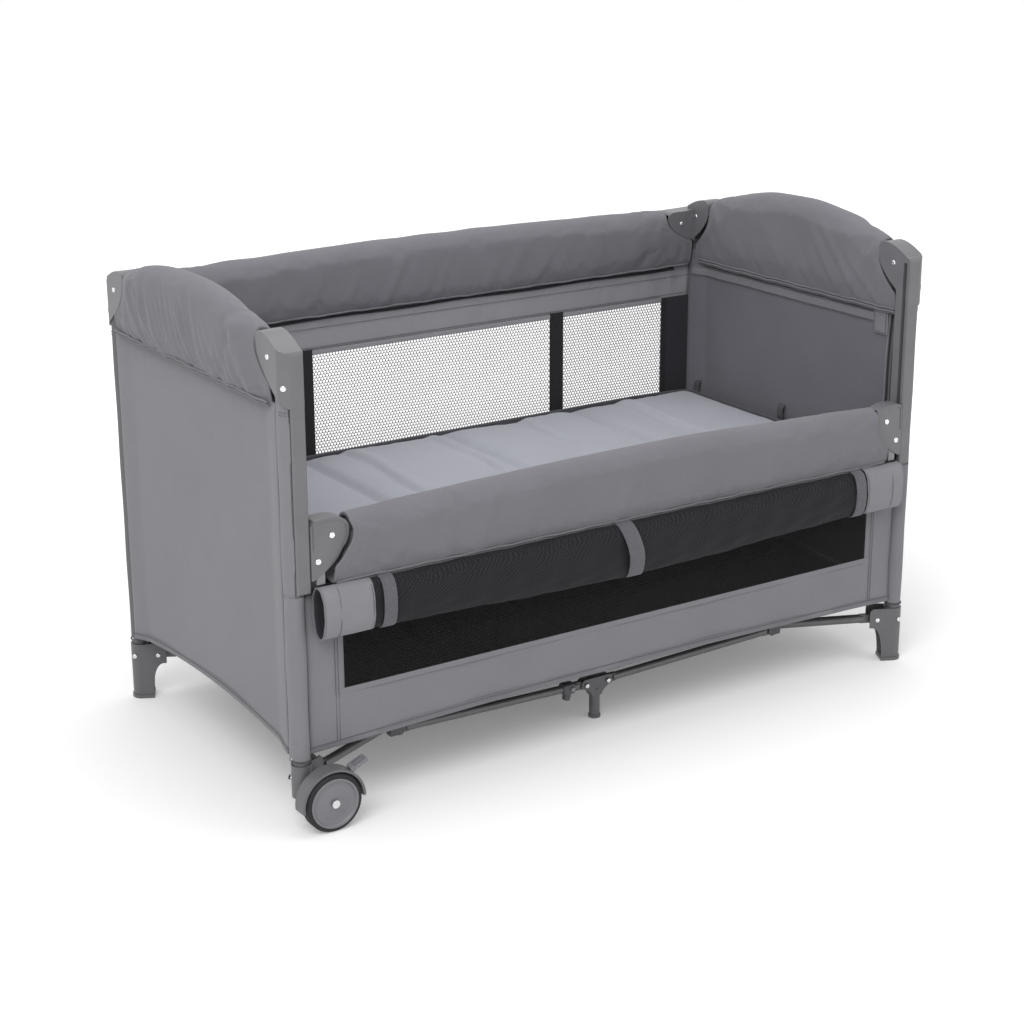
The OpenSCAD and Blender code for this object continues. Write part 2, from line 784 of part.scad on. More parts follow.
// Cuts both ends of a cover by an outline drawn from the post axis, post_at from the middle
module trim_ends(post_at) {
    for (s = [0, 1]) mirror([s, 0, 0]) translate([post_at, 0, 0]) mirror([1, 0, 0])
        plate_y(-cover_t, cover_t) children();
}

module end_cover(sx) {
    half = half_y - cap_in - cover_end_gap;
    color("slategray") translate([sx * (half_x + rail_offset), 0, 0]) rotate([0, 0, 90]) difference() {
        padded_cover(half, half_y - end_tip, end_cover_low, end_rail_z + end_crest,
            end_rail_z + end_cover_rise);
        rail_tunnel(half, end_rail_z + end_rise - pin_above);
        trim_ends(half_y) ear_room(end_rail_z, end_tip, end_drop);
    }
}

module back_cover() {
    half = half_x - cap_in - cover_end_gap;
    high = back_rail_z + back_cover_rise;
    color("slategray") translate([0, half_y + rail_offset, 0]) difference() {
        padded_cover(half, half_x - back_tip, back_cover_low, high - 21, high);
        rail_tunnel(half, back_rail_z + mid_rise - pin_above);
        trim_ends(half_x) ear_room(back_rail_z, back_tip, back_drop);
    }
}

module front_cover() {
    half = half_x - slider_hem;
    color("slategray") translate([0, -half_y - rail_offset, 0]) difference() {
        padded_cover(half, half_x - slider_tip, front_hem_z, side_rail_z + 26, side_rail_z + 44);
        rail_tunnel(half, side_rail_z + mid_rise - pin_above);
        trim_ends(half_x) slider_room();
    }
}

// Outline of a hanging wall with a bowed hem
module wall_outline(half, top, rise) {
    steps = 12;
    polygon(concat([[half, top], [-half, top]],
        [for (i = [0:steps]) let (x = -half + 2 * half * i / steps)
            [x, arch(x, half, hem_z, hem_z + rise)]]));
}

// End wall with the two sleeves that slip over the posts
module end_panel(sx) {
    half = half_y - post_r - clear - 0.5;
    color("gray") {
        translate([sx * end_sheet_x - cloth_t / 2, 0, 0])
            plate_x(0, cloth_t) wall_outline(half, end_cover_low - clear, hem_rise_end);
        for (sy = [-1, 1]) corner(sx, sy) sleeve(sy);
    }
}

module sleeve(sy) {
    difference() {
        translate([0, 0, sleeve_low]) cylinder(r = sleeve_r, h = sleeve_top - sleeve_low);
        translate([0, 0, sleeve_low - 1]) cylinder(r = post_r + clear, h = sleeve_top);
        translate([0, 0, -clear]) cap_body(sy);
        if (sy < 0) translate([-4 - clear, -cap_out - 1, guide_low - clear])
            cube([cap_out + 20, 60, sleeve_top]);
    }
}

// Long wall with a sewn-in net window, thinner than the cloth round it
module long_panel(top, window_low, window_top) {
    half = half_x - sleeve_r - 0.2;
    window_half = half_x - window_side;
    difference() {
        plate_y(0, cloth_t) wall_outline(half, top, hem_rise_side);
        translate([-window_half, -1, window_low])
            cube([2 * window_half, 1 + cloth_t / 4, window_top - window_low]);
        translate([-window_half, cloth_t * 3 / 4, window_low])
            cube([2 * window_half, cloth_t, window_top - window_low]);
    }
}

module back_panel() {
    color("gray") translate([0, side_sheet_y, 0])
        long_panel(back_cover_low - clear, back_window_low, back_window_top);
}

module front_panel() {
    color("gray") translate([0, -side_sheet_y - cloth_t, 0])
        long_panel(guide_low - 4, front_window_low, guide_low - window_margin);
}

// Upper net of the lowered side, rolled up under the front rail
module net_roll() {
    half = half_x - roll_end_gap;
    stations = 20;
    sides = 14;
    high = front_hem_z - clear;
    color("black") swept([for (i = [0:stations]) let (
        x = -half + 2 * half * i / stations,
        sag = 10 * pow(cos(90 * x / half), 2),
        mid = (roll_low + high) / 2 - sag / 2,
        rz = (high - roll_low + sag) / 2)
        [for (j = [0:sides - 1]) let (a = 360 * j / sides)
            [x, -roll_y + roll_half_t * cos(a), mid + rz * sin(a)]]]);
}

// Three bands that hold the roll
module roll_straps() {
    mid = (roll_low + front_hem_z) / 2;
    strap_x = half_x - strap_inset;
    color("gray") for (x = [-strap_x, 0, strap_x])
        translate([x - strap_w / 2, -roll_y - roll_half_t - clear - strap_t, mid - strap_len / 2])
            cube([strap_w, strap_t, strap_len]);
}

// Floor cloth cut out round the posts
module floor_cloth(z) {
    reach_x = end_sheet_x - cloth_t / 2 - clear;
    reach_y = side_sheet_y - clear;
    keep = sleeve_r + 6;
    translate([0, 0, z]) linear_extrude(cloth_t) union() {
        translate([-reach_x, -half_y + keep]) square([2 * reach_x, 2 * (half_y - keep)]);
        translate([-half_x + 26, -reach_y]) square([2 * (half_x - 26), 2 * reach_y]);
    }
}

module raised_floor() {
    color("dimgray") floor_cloth(raised_z - cloth_t - clear);
}

module lower_floor() {
    color("dimgray") floor_cloth(lower_z);
}

// Four-panel mattress: crowned, with drawn-in sides and a sewn channel between panels
module mattress() {
    half_l = half_x - 24;
    half_w = half_y - 16;
    panels = 4;
    nx = 40;
    ny = 12;
    crown = 4;
    groove = 7;
    function edge(u) = 1 - pow(abs(u), 10);
    function panel(u) = pow(abs(sin(panels * 90 * (u + 1))), 0.25);
    function inset(u) = 1 - 0.006 * pow(abs(u), 6);
    top = [for (i = [0:nx], j = [0:ny]) let (u = 2 * i / nx - 1, v = 2 * j / ny - 1)
        [half_l * u * inset(v), half_w * v * inset(u),
            bed_z - 5 + (crown + 5) * edge(u) * edge(v) - groove * (1 - panel(u)) * edge(v) * edge(u)]];
    bottom = [for (p = top) [p[0], p[1], raised_z]];
    row = ny + 1;
    count = len(top);
    cells = [for (i = [0:nx - 1], j = [0:ny - 1]) i * row + j];
    rim = concat([for (j = [0:ny - 1]) j], [for (i = [0:nx - 1]) i * row + ny],
        [for (j = [ny:-1:1]) nx * row + j], [for (i = [nx:-1:1]) i * row]);
    faces = concat(
        [for (c = cells) each [[c, c + 1, c + row], [c + 1, c + row + 1, c + row]]],
        [for (c = cells) each [[count + c, count + c + row, count + c + 1],
            [count + c + 1, count + c + row, count + c + row + 1]]],
        [for (k = [0:len(rim) - 1]) let (a = rim[k], b = rim[(k + 1) % len(rim)])
            each [[a, count + a, b], [count + a, count + b, b]]]);
    color("lightslategray") polyhedron(points = concat(top, bottom), faces = faces);
}

hub();
diagonal(-1, -1);  // diagonal_fl
diagonal(1, -1);  // diagonal_fr
diagonal(-1, 1);  // diagonal_bl
diagonal(1, 1);  // diagonal_br
knuckle(-1, -1);  // knuckle_fl
knuckle(1, -1);  // knuckle_fr
knuckle(-1, 1);  // knuckle_bl
knuckle(1, 1);  // knuckle_br
side_tube(-1, -1);  // side_tube_fl
side_tube(1, -1);  // side_tube_fr
side_tube(-1, 1);  // side_tube_bl
side_tube(1, 1);  // side_tube_br
centre_foot(-1);  // centre_foot_front
centre_foot(1);  // centre_foot_back
post(-1, -1);  // post_fl
post(1, -1);  // post_fr
post(-1, 1);  // post_bl
post(1, 1);  // post_br
cap(-1, -1);  // cap_fl
cap(1, -1);  // cap_fr
cap(-1, 1);  // cap_bl
cap(1, 1);  // cap_br
wheel_housing(-1, -1);  // wheel_housing_fl
wheel_housing(1, 1);  // wheel_housing_br
foot(1, -1);  // foot_fr
foot(-1, 1);  // foot_bl
axle(-1, -1);  // axle_fl
axle(1, 1);  // axle_br
wheel(-1, -1);  // wheel_fl
wheel(1, 1);  // wheel_br
tyre(-1, -1);  // tyre_fl
tyre(1, 1);  // tyre_br
brake(-1, -1);  // brake_fl
brake(1, 1);  // brake_br
end_rail(-1, -1);  // end_rail_lf
end_rail(-1, 1);  // end_rail_lb
end_rail(1, -1);  // end_rail_rf
end_rail(1, 1);  // end_rail_rb
back_rail(-1);  // back_rail_l
back_rail(1);  // back_rail_r
front_rail(-1);  // front_rail_l
front_rail(1);  // front_rail_r
slider(-1);  // slider_l
slider(1);  // slider_r
slider_button(-1);  // slider_button_l
slider_button(1);  // slider_button_r
end_cover(-1);  // end_cover_left
end_cover(1);  // end_cover_right
back_cover();
front_cover();
end_panel(-1);  // end_panel_left
end_panel(1);  // end_panel_right
back_panel();
front_panel();
net_roll();
roll_straps();
raised_floor();
lower_floor();
mattress();
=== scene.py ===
"""Looks of a bedside travel cot: fabric, net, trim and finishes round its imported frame."""
import bmesh
import bpy
import json
import math
import numpy as np
from mathutils import Matrix, Vector


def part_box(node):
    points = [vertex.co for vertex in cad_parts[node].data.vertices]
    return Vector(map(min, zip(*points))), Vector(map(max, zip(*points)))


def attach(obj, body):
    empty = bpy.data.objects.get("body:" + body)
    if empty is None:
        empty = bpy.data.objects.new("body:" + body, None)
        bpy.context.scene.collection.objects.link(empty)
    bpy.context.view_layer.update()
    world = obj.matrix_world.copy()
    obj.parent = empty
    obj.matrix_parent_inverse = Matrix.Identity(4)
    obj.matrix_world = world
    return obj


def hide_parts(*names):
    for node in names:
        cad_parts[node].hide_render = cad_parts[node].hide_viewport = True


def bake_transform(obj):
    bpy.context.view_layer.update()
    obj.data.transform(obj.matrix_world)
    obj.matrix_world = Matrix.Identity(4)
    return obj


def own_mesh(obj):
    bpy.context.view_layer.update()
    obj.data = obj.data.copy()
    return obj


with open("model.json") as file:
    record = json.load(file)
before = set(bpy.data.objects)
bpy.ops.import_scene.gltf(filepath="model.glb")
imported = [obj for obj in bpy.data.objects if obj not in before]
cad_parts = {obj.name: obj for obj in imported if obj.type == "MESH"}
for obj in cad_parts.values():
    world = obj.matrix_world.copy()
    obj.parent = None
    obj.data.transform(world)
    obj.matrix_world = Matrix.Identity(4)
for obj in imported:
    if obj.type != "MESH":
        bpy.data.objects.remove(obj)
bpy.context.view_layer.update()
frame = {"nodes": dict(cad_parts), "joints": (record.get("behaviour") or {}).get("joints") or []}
scene = bpy.context.scene

# Places read from the frame
JOINTS = {j["name"]: j for j in frame["joints"]}


def pivot(joint):
    """Place of a joint."""
    return Vector(JOINTS[joint]["pos_m"])


def middle(node):
    """Middle of a piece's box."""
    low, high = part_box(node)
    return (low + high) / 2


POST_X = middle("post_fr").x
POST_Y = middle("post_bl").y
POST_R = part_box("post_fr")[1].x - POST_X
CORNERS = {"fl": (-1, -1), "fr": (1, -1), "bl": (-1, 1), "br": (1, 1)}
END_RAIL_Z, END_MID_Z = pivot("end_rail_fold_lf").z, pivot("end_rail_fold_lb").z
BACK_RAIL_Z = pivot("back_rail_fold_l").z
SIDE_RAIL_Z = pivot("front_rail_fold_l").z
RAIL_OUT = -pivot("front_rail_fold_l").y - POST_Y
FOOT_PIVOT_Z = pivot("frame_fold").z

# Fabric sizes, in metres
COVER_T = 0.050
END_LOW, END_TOP, END_SHOULDER = 0.660, 0.806, 0.766
BACK_LOW, BACK_TOP, BACK_SHOULDER = 0.632, 0.757, 0.744
FRONT_LOW = SIDE_RAIL_Z - 0.078
FRONT_TOP, FRONT_SHOULDER = SIDE_RAIL_Z + 0.043, SIDE_RAIL_Z + 0.025
HEM_Z, HEM_RISE_END, HEM_RISE_SIDE = 0.113, 0.024, 0.010
END_SHEET_X = POST_X + 0.005
SLEEVE_R = POST_R + 0.0014
LINING_X = END_SHEET_X - 0.0040
LINING_FRONT = -POST_Y + 0.046
LINING_CORNER, LINING_BACK = POST_X - SLEEVE_R - 0.0012, POST_Y - 0.0015
BED_Z, RAISED_Z, LOWER_Z = 0.383, 0.357, 0.122
LINING_LOW = LOWER_Z + 0.02
PANEL_TOP_END, PANEL_TOP_FRONT = END_LOW + 0.004, 0.368
WALL_SKIN, WALL_HALF = 0.0012, POST_X - SLEEVE_R - 0.001

# Windows: lower and upper edge, half length, and the net's pitch and thread
BACK_NET, BACK_NET_HALF, BACK_MESH = (0.350, 0.570), 0.524, (0.0062, 0.0023)
FRONT_NET, FRONT_NET_HALF, FRONT_MESH = (0.202, 0.352), 0.528, (0.0046, 0.0008)
BACK_TAPES = ((-0.279, -0.248), (0.259, 0.290))

# Stitched seams: heights on the back wall, distances from the middle on the front wall
BACK_SEAMS, FRONT_SEAMS = (0.5775, 0.612), (0.5385, 0.5435)


# Mesh helpers
def add_object(name, verts, faces, smooth=True):
    """A mesh object from points and faces."""
    mesh = bpy.data.meshes.new(name)
    mesh.from_pydata([tuple(float(c) for c in v) for v in verts], [], [tuple(f) for f in faces])
    mesh.update()
    if smooth:
        mesh.shade_smooth()
    obj = bpy.data.objects.new(name, mesh)
    scene.collection.objects.link(obj)
    return obj


def grid_faces(rows, cols, wrap=False):
    """Four-sided faces between the points of a grid, closed round each row if asked."""
    faces = []
    for i in range(rows - 1):
        for j in range(cols if wrap else cols - 1):
            k = (j + 1) % cols
            faces.append((i * cols + j, i * cols + k, (i + 1) * cols + k, (i + 1) * cols + j))
    return faces


def point_outwards(obj):
    """Merges doubles and turns every face of a closed shell outwards."""
    bm = bmesh.new()
    bm.from_mesh(obj.data)
    bmesh.ops.remove_doubles(bm, verts=bm.verts, dist=1e-5)
    bmesh.ops.recalc_face_normals(bm, faces=bm.faces)
    bm.to_mesh(obj.data)
    bm.free()
    obj.data.shade_smooth()
    return obj


def shell(name, rings, close_ends=True):
    """Closed skin over rings of equal count."""
    rings = np.asarray(rings, float)
    rows, cols = rings.shape[:2]
    verts = rings.reshape(-1, 3).tolist()
    faces = grid_faces(rows, cols, wrap=True)
    if close_ends:
        for i in (0, rows - 1):
            verts.append(rings[i].mean(0))
            centre = len(verts) - 1
            for j in range(cols):
                faces.append((i * cols + j, i * cols + (j + 1) % cols, centre))
    return point_outwards(add_object(name, verts, faces))


def finished(obj):
    """Applies every modifier as a plain mesh."""
    graph = bpy.context.evaluated_depsgraph_get()
    graph.update()
    mesh = bpy.data.meshes.new_from_object(obj.evaluated_get(graph))
    obj.modifiers.clear()
    obj.data = mesh
    obj.data.shade_smooth()
    return obj


def subdivide(obj):
    """Splits every face in four and rounds the result."""
    mod = obj.modifiers.new("subdivision", "SUBSURF")
    mod.levels = 1
    mod.render_levels = 1
    return finished(obj)


def thicken(obj, thickness, bevel=0.0):
    """Gives a sheet its thickness, half to each side."""
    mod = obj.modifiers.new("thickness", "SOLIDIFY")
    mod.thickness = thickness
    mod.offset = 0.0
    if bevel:
        edge = obj.modifiers.new("edge", "BEVEL")
        edge.width = bevel
        edge.segments = 2
    return finished(obj)


def resample(points, count, closed=False):
    """Points spaced evenly along a polyline."""
    pts = np.asarray(points, float)
    if closed:
        pts = np.vstack([pts, pts[:1]])
    steps = np.r_[0, np.cumsum(np.linalg.norm(np.diff(pts, axis=0), axis=1))]
    at = np.linspace(0, steps[-1], count, endpoint=not closed)
    return np.stack([np.interp(at, steps, pts[:, k]) for k in range(pts.shape[1])], axis=1)


def tube(name, points, radius, sides=8, closed=False, up=(0, 0, 1)):
    """Round tube along points, its rings turned by the up direction."""
    pts = np.asarray(points, float)
    ahead = np.roll(pts, -1, 0) - np.roll(pts, 1, 0)
    if not closed:
        ahead[0] = pts[1] - pts[0]
        ahead[-1] = pts[-1] - pts[-2]
    ahead /= np.linalg.norm(ahead, axis=1)[:, None]
    side = np.cross(ahead, np.array(up, float))
    weak = np.linalg.norm(side, axis=1) < 1e-4
    side[weak] = np.cross(ahead[weak], np.array([1.0, 0.0, 0.0]))
    side /= np.linalg.norm(side, axis=1)[:, None]
    top = np.cross(side, ahead)
    angles = np.linspace(0, 2 * math.pi, sides, endpoint=False)
    rings = [[p + radius * (math.cos(a) * s + math.sin(a) * t) for a in angles]
             for p, s, t in zip(pts, side, top)]
    if closed:
        rings.append(rings[0])
    return shell(name, rings, close_ends=not closed)


def joined(name, objects):
    """One mesh object from several."""
    bpy.ops.object.select_all(action="DESELECT")
    for o in objects:
        o.select_set(True)
    bpy.context.view_layer.objects.active = objects[0]
    bpy.ops.object.join()
    objects[0].name = name
    objects[0].data.name = name
    return objects[0]


def coords(obj):
    """Places of a mesh's points, one row each."""
    out = np.empty(len(obj.data.vertices) * 3)
    obj.data.vertices.foreach_get("co", out)
    return out.reshape(-1, 3)


def normals(obj):
    """Directions that a mesh's points face, one row each."""
    out = np.empty(len(obj.data.vertices) * 3)
    obj.data.vertex_normals.foreach_get("vector", out)
    return out.reshape(-1, 3)


def set_coords(obj, co):
    """Moves a mesh's points to new places."""
    obj.data.vertices.foreach_set("co", np.asarray(co, float).ravel())
    obj.data.update()


CLOTH_FRAMES, CLOTH_STIFFNESS = 16, 12.0


def simulate(obj, pinned, pressure, spare, cap):
    """Blows the cloth up from inside with a little spare length, and moves no point further than cap."""
    rest = coords(obj)
    group = obj.vertex_groups.new(name="pins")
    group.add([int(i) for i in np.nonzero(pinned)[0]], 1.0, "REPLACE")
    mod = obj.modifiers.new("cloth", "CLOTH")
    cloth = mod.settings
    cloth.quality = 5
    cloth.mass = 0.3
    cloth.tension_stiffness = CLOTH_STIFFNESS
    cloth.compression_stiffness = CLOTH_STIFFNESS
    cloth.shear_stiffness = CLOTH_STIFFNESS / 2
    cloth.bending_stiffness = 0.15
    cloth.use_pressure = True
    cloth.uniform_pressure_force = pressure
    cloth.shrink_min = -spare
    cloth.effector_weights.gravity = 0
    cloth.vertex_group_mass = "pins"
    mod.collision_settings.use_collision = False
    mod.point_cache.frame_start = 1
    mod.point_cache.frame_end = CLOTH_FRAMES
    for moment in range(1, CLOTH_FRAMES + 1):
        scene.frame_set(moment)
    graph = bpy.context.evaluated_depsgraph_get()
    mesh = obj.evaluated_get(graph).to_mesh()
    out = np.empty(len(mesh.vertices) * 3)
    mesh.vertices.foreach_get("co", out)
    obj.evaluated_get(graph).to_mesh_clear()
    move = out.reshape(-1, 3) - rest
    far = np.linalg.norm(move, axis=1)
    move *= np.minimum(1, cap / np.maximum(far, 1e-9))[:, None]
    obj.modifiers.remove(mod)
    obj.vertex_groups.clear()
    scene.frame_set(1)
    set_coords(obj, rest + move)
    return obj


def smooth_noise(points, scale, seed):
    """Sum of a few slanted waves, a repeatable soft unevenness between about -1 and 1."""
    gen = np.random.default_rng(seed)
    out = np.zeros(len(points))
    for _ in range(7):
        direction = gen.normal(size=points.shape[1])
        direction *= gen.uniform(0.5, 1.5) / np.linalg.norm(direction)
        out += np.sin(points @ direction * (2 * math.pi / scale) + gen.uniform(0, 2 * math.pi))
    return out / 3.5


def fold_field(along, height, seed, count, span, lean, width, depth):
    """Creases that run down a face: along in metres, height from 0 at the seam to 1 at the top."""
    gen = np.random.default_rng(seed)
    out = np.zeros(len(along))
    for i in range(count):
        centre = -span + 2 * span * (i + gen.uniform(0.1, 0.9)) / count
        slope = lean + gen.uniform(-0.5, 0.5) * abs(lean)
        w = width * gen.uniform(0.6, 1.5)
        low, high = gen.uniform(-0.2, 0.1), gen.uniform(0.55, 1.0)
        line = centre + slope * (height - 0.4) + 0.004 * np.sin(height * gen.uniform(3, 6) + i)
        d = (along - line) / w
        reach = np.clip((height - low) / 0.15, 0, 1) * np.clip((high - height) / 0.35, 0, 1)
        crest = np.exp(-d * d) - 0.7 * np.exp(-(d - 1.3) ** 2)
        out += depth * gen.uniform(0.4, 1.2) * crest * reach
    return out


# Materials
def node(tree, kind, **values):
    """A new node with some of its settings."""
    made = tree.nodes.new(kind)
    for key, value in values.items():
        setattr(made, key, value)
    return made


def new_material(name, colour, roughness, metallic=0.0, specular=0.5):
    """A plain material, with its node tree and its shader."""
    material = bpy.data.materials.new(name)
    material.use_nodes = True
    shader = material.node_tree.nodes["Principled BSDF"]
    shader.inputs["Base Color"].default_value = (*colour, 1)
    shader.inputs["Roughness"].default_value = roughness
    shader.inputs["Metallic"].default_value = metallic
    shader.inputs["Specular IOR Level"].default_value = specular
    return material, material.node_tree, shader


def object_point(tree, scale=(1, 1, 1)):
    """The point in the object's own frame, scaled."""
    at = node(tree, "ShaderNodeTexCoord")
    mapping = node(tree, "ShaderNodeMapping")
    mapping.inputs["Scale"].default_value = scale
    tree.links.new(at.outputs["Object"], mapping.inputs["Vector"])
    return mapping.outputs["Vector"]


def noise_of(tree, vector, scale, detail=3.0, rough=0.55):
    """A noise pattern between 0 and 1."""
    tex = node(tree, "ShaderNodeTexNoise")
    tex.inputs["Scale"].default_value = scale
    tex.inputs["Detail"].default_value = detail
    tex.inputs["Roughness"].default_value = rough
    tree.links.new(vector, tex.inputs["Vector"])
    return tex.outputs["Fac"]


def math_of(tree, operation, a, b):
    """The result of an operation on two sockets or numbers."""
    made = node(tree, "ShaderNodeMath", operation=operation)
    for socket, value in zip(made.inputs, (a, b)):
        if isinstance(value, (int, float)):
            socket.default_value = value
        else:
            tree.links.new(value, socket)
    return made.outputs[0]


def ramp_of(tree, fac, stops):
    """Colours by the value of a pattern; stops are (place, colour)."""
    ramp = node(tree, "ShaderNodeValToRGB")
    while len(ramp.color_ramp.elements) < len(stops):
        ramp.color_ramp.elements.new(0.5)
    for element, (place, colour) in zip(ramp.color_ramp.elements, stops):
        element.position = place
        element.color = (*colour, 1)
    tree.links.new(fac, ramp.inputs["Fac"])
    return ramp.outputs["Color"]


def bump_of(tree, height, strength, distance, under=None):
    """Relief from a pattern, on top of another one if given."""
    bump = node(tree, "ShaderNodeBump")
    bump.inputs["Strength"].default_value = strength
    bump.inputs["Distance"].default_value = distance
    tree.links.new(height, bump.inputs["Height"])
    if under is not None:
        tree.links.new(under, bump.inputs["Normal"])
    return bump.outputs["Normal"]


def tinted(colour, factor):
    """A colour made lighter or darker."""
    return tuple(c * factor for c in colour)


def uneven(tree, shader, pattern, low, high):
    """Lets the roughness go from low to high with a pattern."""
    rough = node(tree, "ShaderNodeMapRange")
    rough.inputs["To Min"].default_value = low
    rough.inputs["To Max"].default_value = high
    tree.links.new(pattern, rough.inputs["Value"])
    tree.links.new(rough.outputs["Result"], shader.inputs["Roughness"])


# Length of one band of a wave texture at scale 1, and the looks that all woven cloths share
BAND = 0.314
WEAVE, SHEEN = 0.35, 0.15


def woven(name, colour, thread=0.0011, roughness=0.82, melange=0.10, crease=0.0):
    """Plain-woven cloth: crossed threads, melange yarn, faint wear and unevenness."""
    material, tree, shader = new_material(name, colour, roughness, specular=0.25)
    shader.inputs["Sheen Weight"].default_value = SHEEN
    shader.inputs["Sheen Roughness"].default_value = 0.5
    point = object_point(tree)
    waves = None
    for axis in "XYZ":
        wave = node(tree, "ShaderNodeTexWave", wave_type="BANDS", bands_direction=axis)
        wave.inputs["Scale"].default_value = BAND / thread
        wave.inputs["Distortion"].default_value = 0.6
        wave.inputs["Detail"].default_value = 1.0
        tree.links.new(point, wave.inputs["Vector"])
        band = wave.outputs["Fac"]
        waves = band if waves is None else math_of(tree, "ADD", waves, band)
    yarn = noise_of(tree, object_point(tree, (1, 1, 2.2)), 620.0, 2.0)
    patch = noise_of(tree, point, 9.0, 4.0)
    parts = math_of(tree, "MULTIPLY", yarn, 0.62), math_of(tree, "MULTIPLY", patch, 0.38)
    pale, deep = tinted(colour, 1 + melange), tinted(colour, 1 - melange)
    tint = ramp_of(tree, math_of(tree, "ADD", *parts), [(0.32, deep), (0.68, pale)])
    tree.links.new(tint, shader.inputs["Base Color"])
    uneven(tree, shader, patch, roughness - 0.08, min(1.0, roughness + 0.1))
    soft = bump_of(tree, noise_of(tree, point, 34.0, 3.0), 0.25 + crease, 0.0016)
    tree.links.new(bump_of(tree, waves, WEAVE, 0.00025, soft), shader.inputs["Normal"])
    return material


def moulded(name, colour, roughness, grain=0.12):
    """Moulded plastic with a fine grain, slightly polished and dusty in places."""
    material, tree, shader = new_material(name, colour, roughness, specular=0.45)
    point = object_point(tree)
    patch = noise_of(tree, point, 30.0, 4.0)
    tint = ramp_of(tree, patch, [(0.3, tinted(colour, 0.94)), (0.7, tinted(colour, 1.05))])
    tree.links.new(tint, shader.inputs["Base Color"])
    uneven(tree, shader, patch, roughness - 0.06, roughness + 0.10)
    fine = noise_of(tree, point, 1500.0, 2.0)
    tree.links.new(bump_of(tree, fine, grain, 0.0003), shader.inputs["Normal"])
    return material


def metal(name, colour, roughness, metallic=1.0):
    """Plated or powder-coated metal with faint drawing lines."""
    material, tree, shader = new_material(name, colour, roughness, metallic)
    point = object_point(tree)
    fine = noise_of(tree, point, 260.0, 3.0)
    uneven(tree, shader, fine, max(0.05, roughness - 0.08), roughness + 0.10)
    stops = [(0.3, tinted(colour, 0.92)), (0.7, tinted(colour, 1.06))]
    tint = ramp_of(tree, noise_of(tree, point, 24.0), stops)
    tree.links.new(tint, shader.inputs["Base Color"])
    tree.links.new(bump_of(tree, fine, 0.06, 0.0002), shader.inputs["Normal"])
    return material


def hooked(name, colour):
    """Hook-and-loop or brushed tape: a fuzzy pile."""
    material, tree, shader = new_material(name, colour, 0.95, specular=0.1)
    shader.inputs["Sheen Weight"].default_value = 0.25
    point = object_point(tree)
    pile = noise_of(tree, point, 900.0, 4.0, 0.8)
    tint = ramp_of(tree, pile, [(0.35, tinted(colour, 0.6)), (0.65, tinted(colour, 1.35))])
    tree.links.new(tint, shader.inputs["Base Color"])
    tree.links.new(bump_of(tree, pile, 0.9, 0.0008), shader.inputs["Normal"])
    return material


def netted(name, colour):
    """Layers of wound net: fine crossed threads that run aslant round the roll."""
    material, tree, shader = new_material(name, colour, 0.75, specular=0.2)
    shader.inputs["Sheen Weight"].default_value = 0.06
    waves = None
    for turn in (38, -52):
        at = node(tree, "ShaderNodeTexCoord")
        mapping = node(tree, "ShaderNodeMapping")
        mapping.inputs["Rotation"].default_value = (0, math.radians(turn), math.radians(turn))
        tree.links.new(at.outputs["Object"], mapping.inputs["Vector"])
        wave = node(tree, "ShaderNodeTexWave", wave_type="BANDS", bands_direction="X")
        wave.inputs["Scale"].default_value = 105.0
        wave.inputs["Distortion"].default_value = 1.5
        tree.links.new(mapping.outputs["Vector"], wave.inputs["Vector"])
        band = wave.outputs["Fac"]
        waves = band if waves is None else math_of(tree, "MAXIMUM", waves, band)
    tint = ramp_of(tree, waves, [(0.55, tinted(colour, 0.5)), (0.95, tinted(colour, 1.9))])
    tree.links.new(tint, shader.inputs["Base Color"])
    soft = bump_of(tree, noise_of(tree, object_point(tree), 40.0, 4.0), 0.5, 0.002)
    tree.links.new(bump_of(tree, waves, 0.8, 0.0006, soft), shader.inputs["Normal"])
    return material


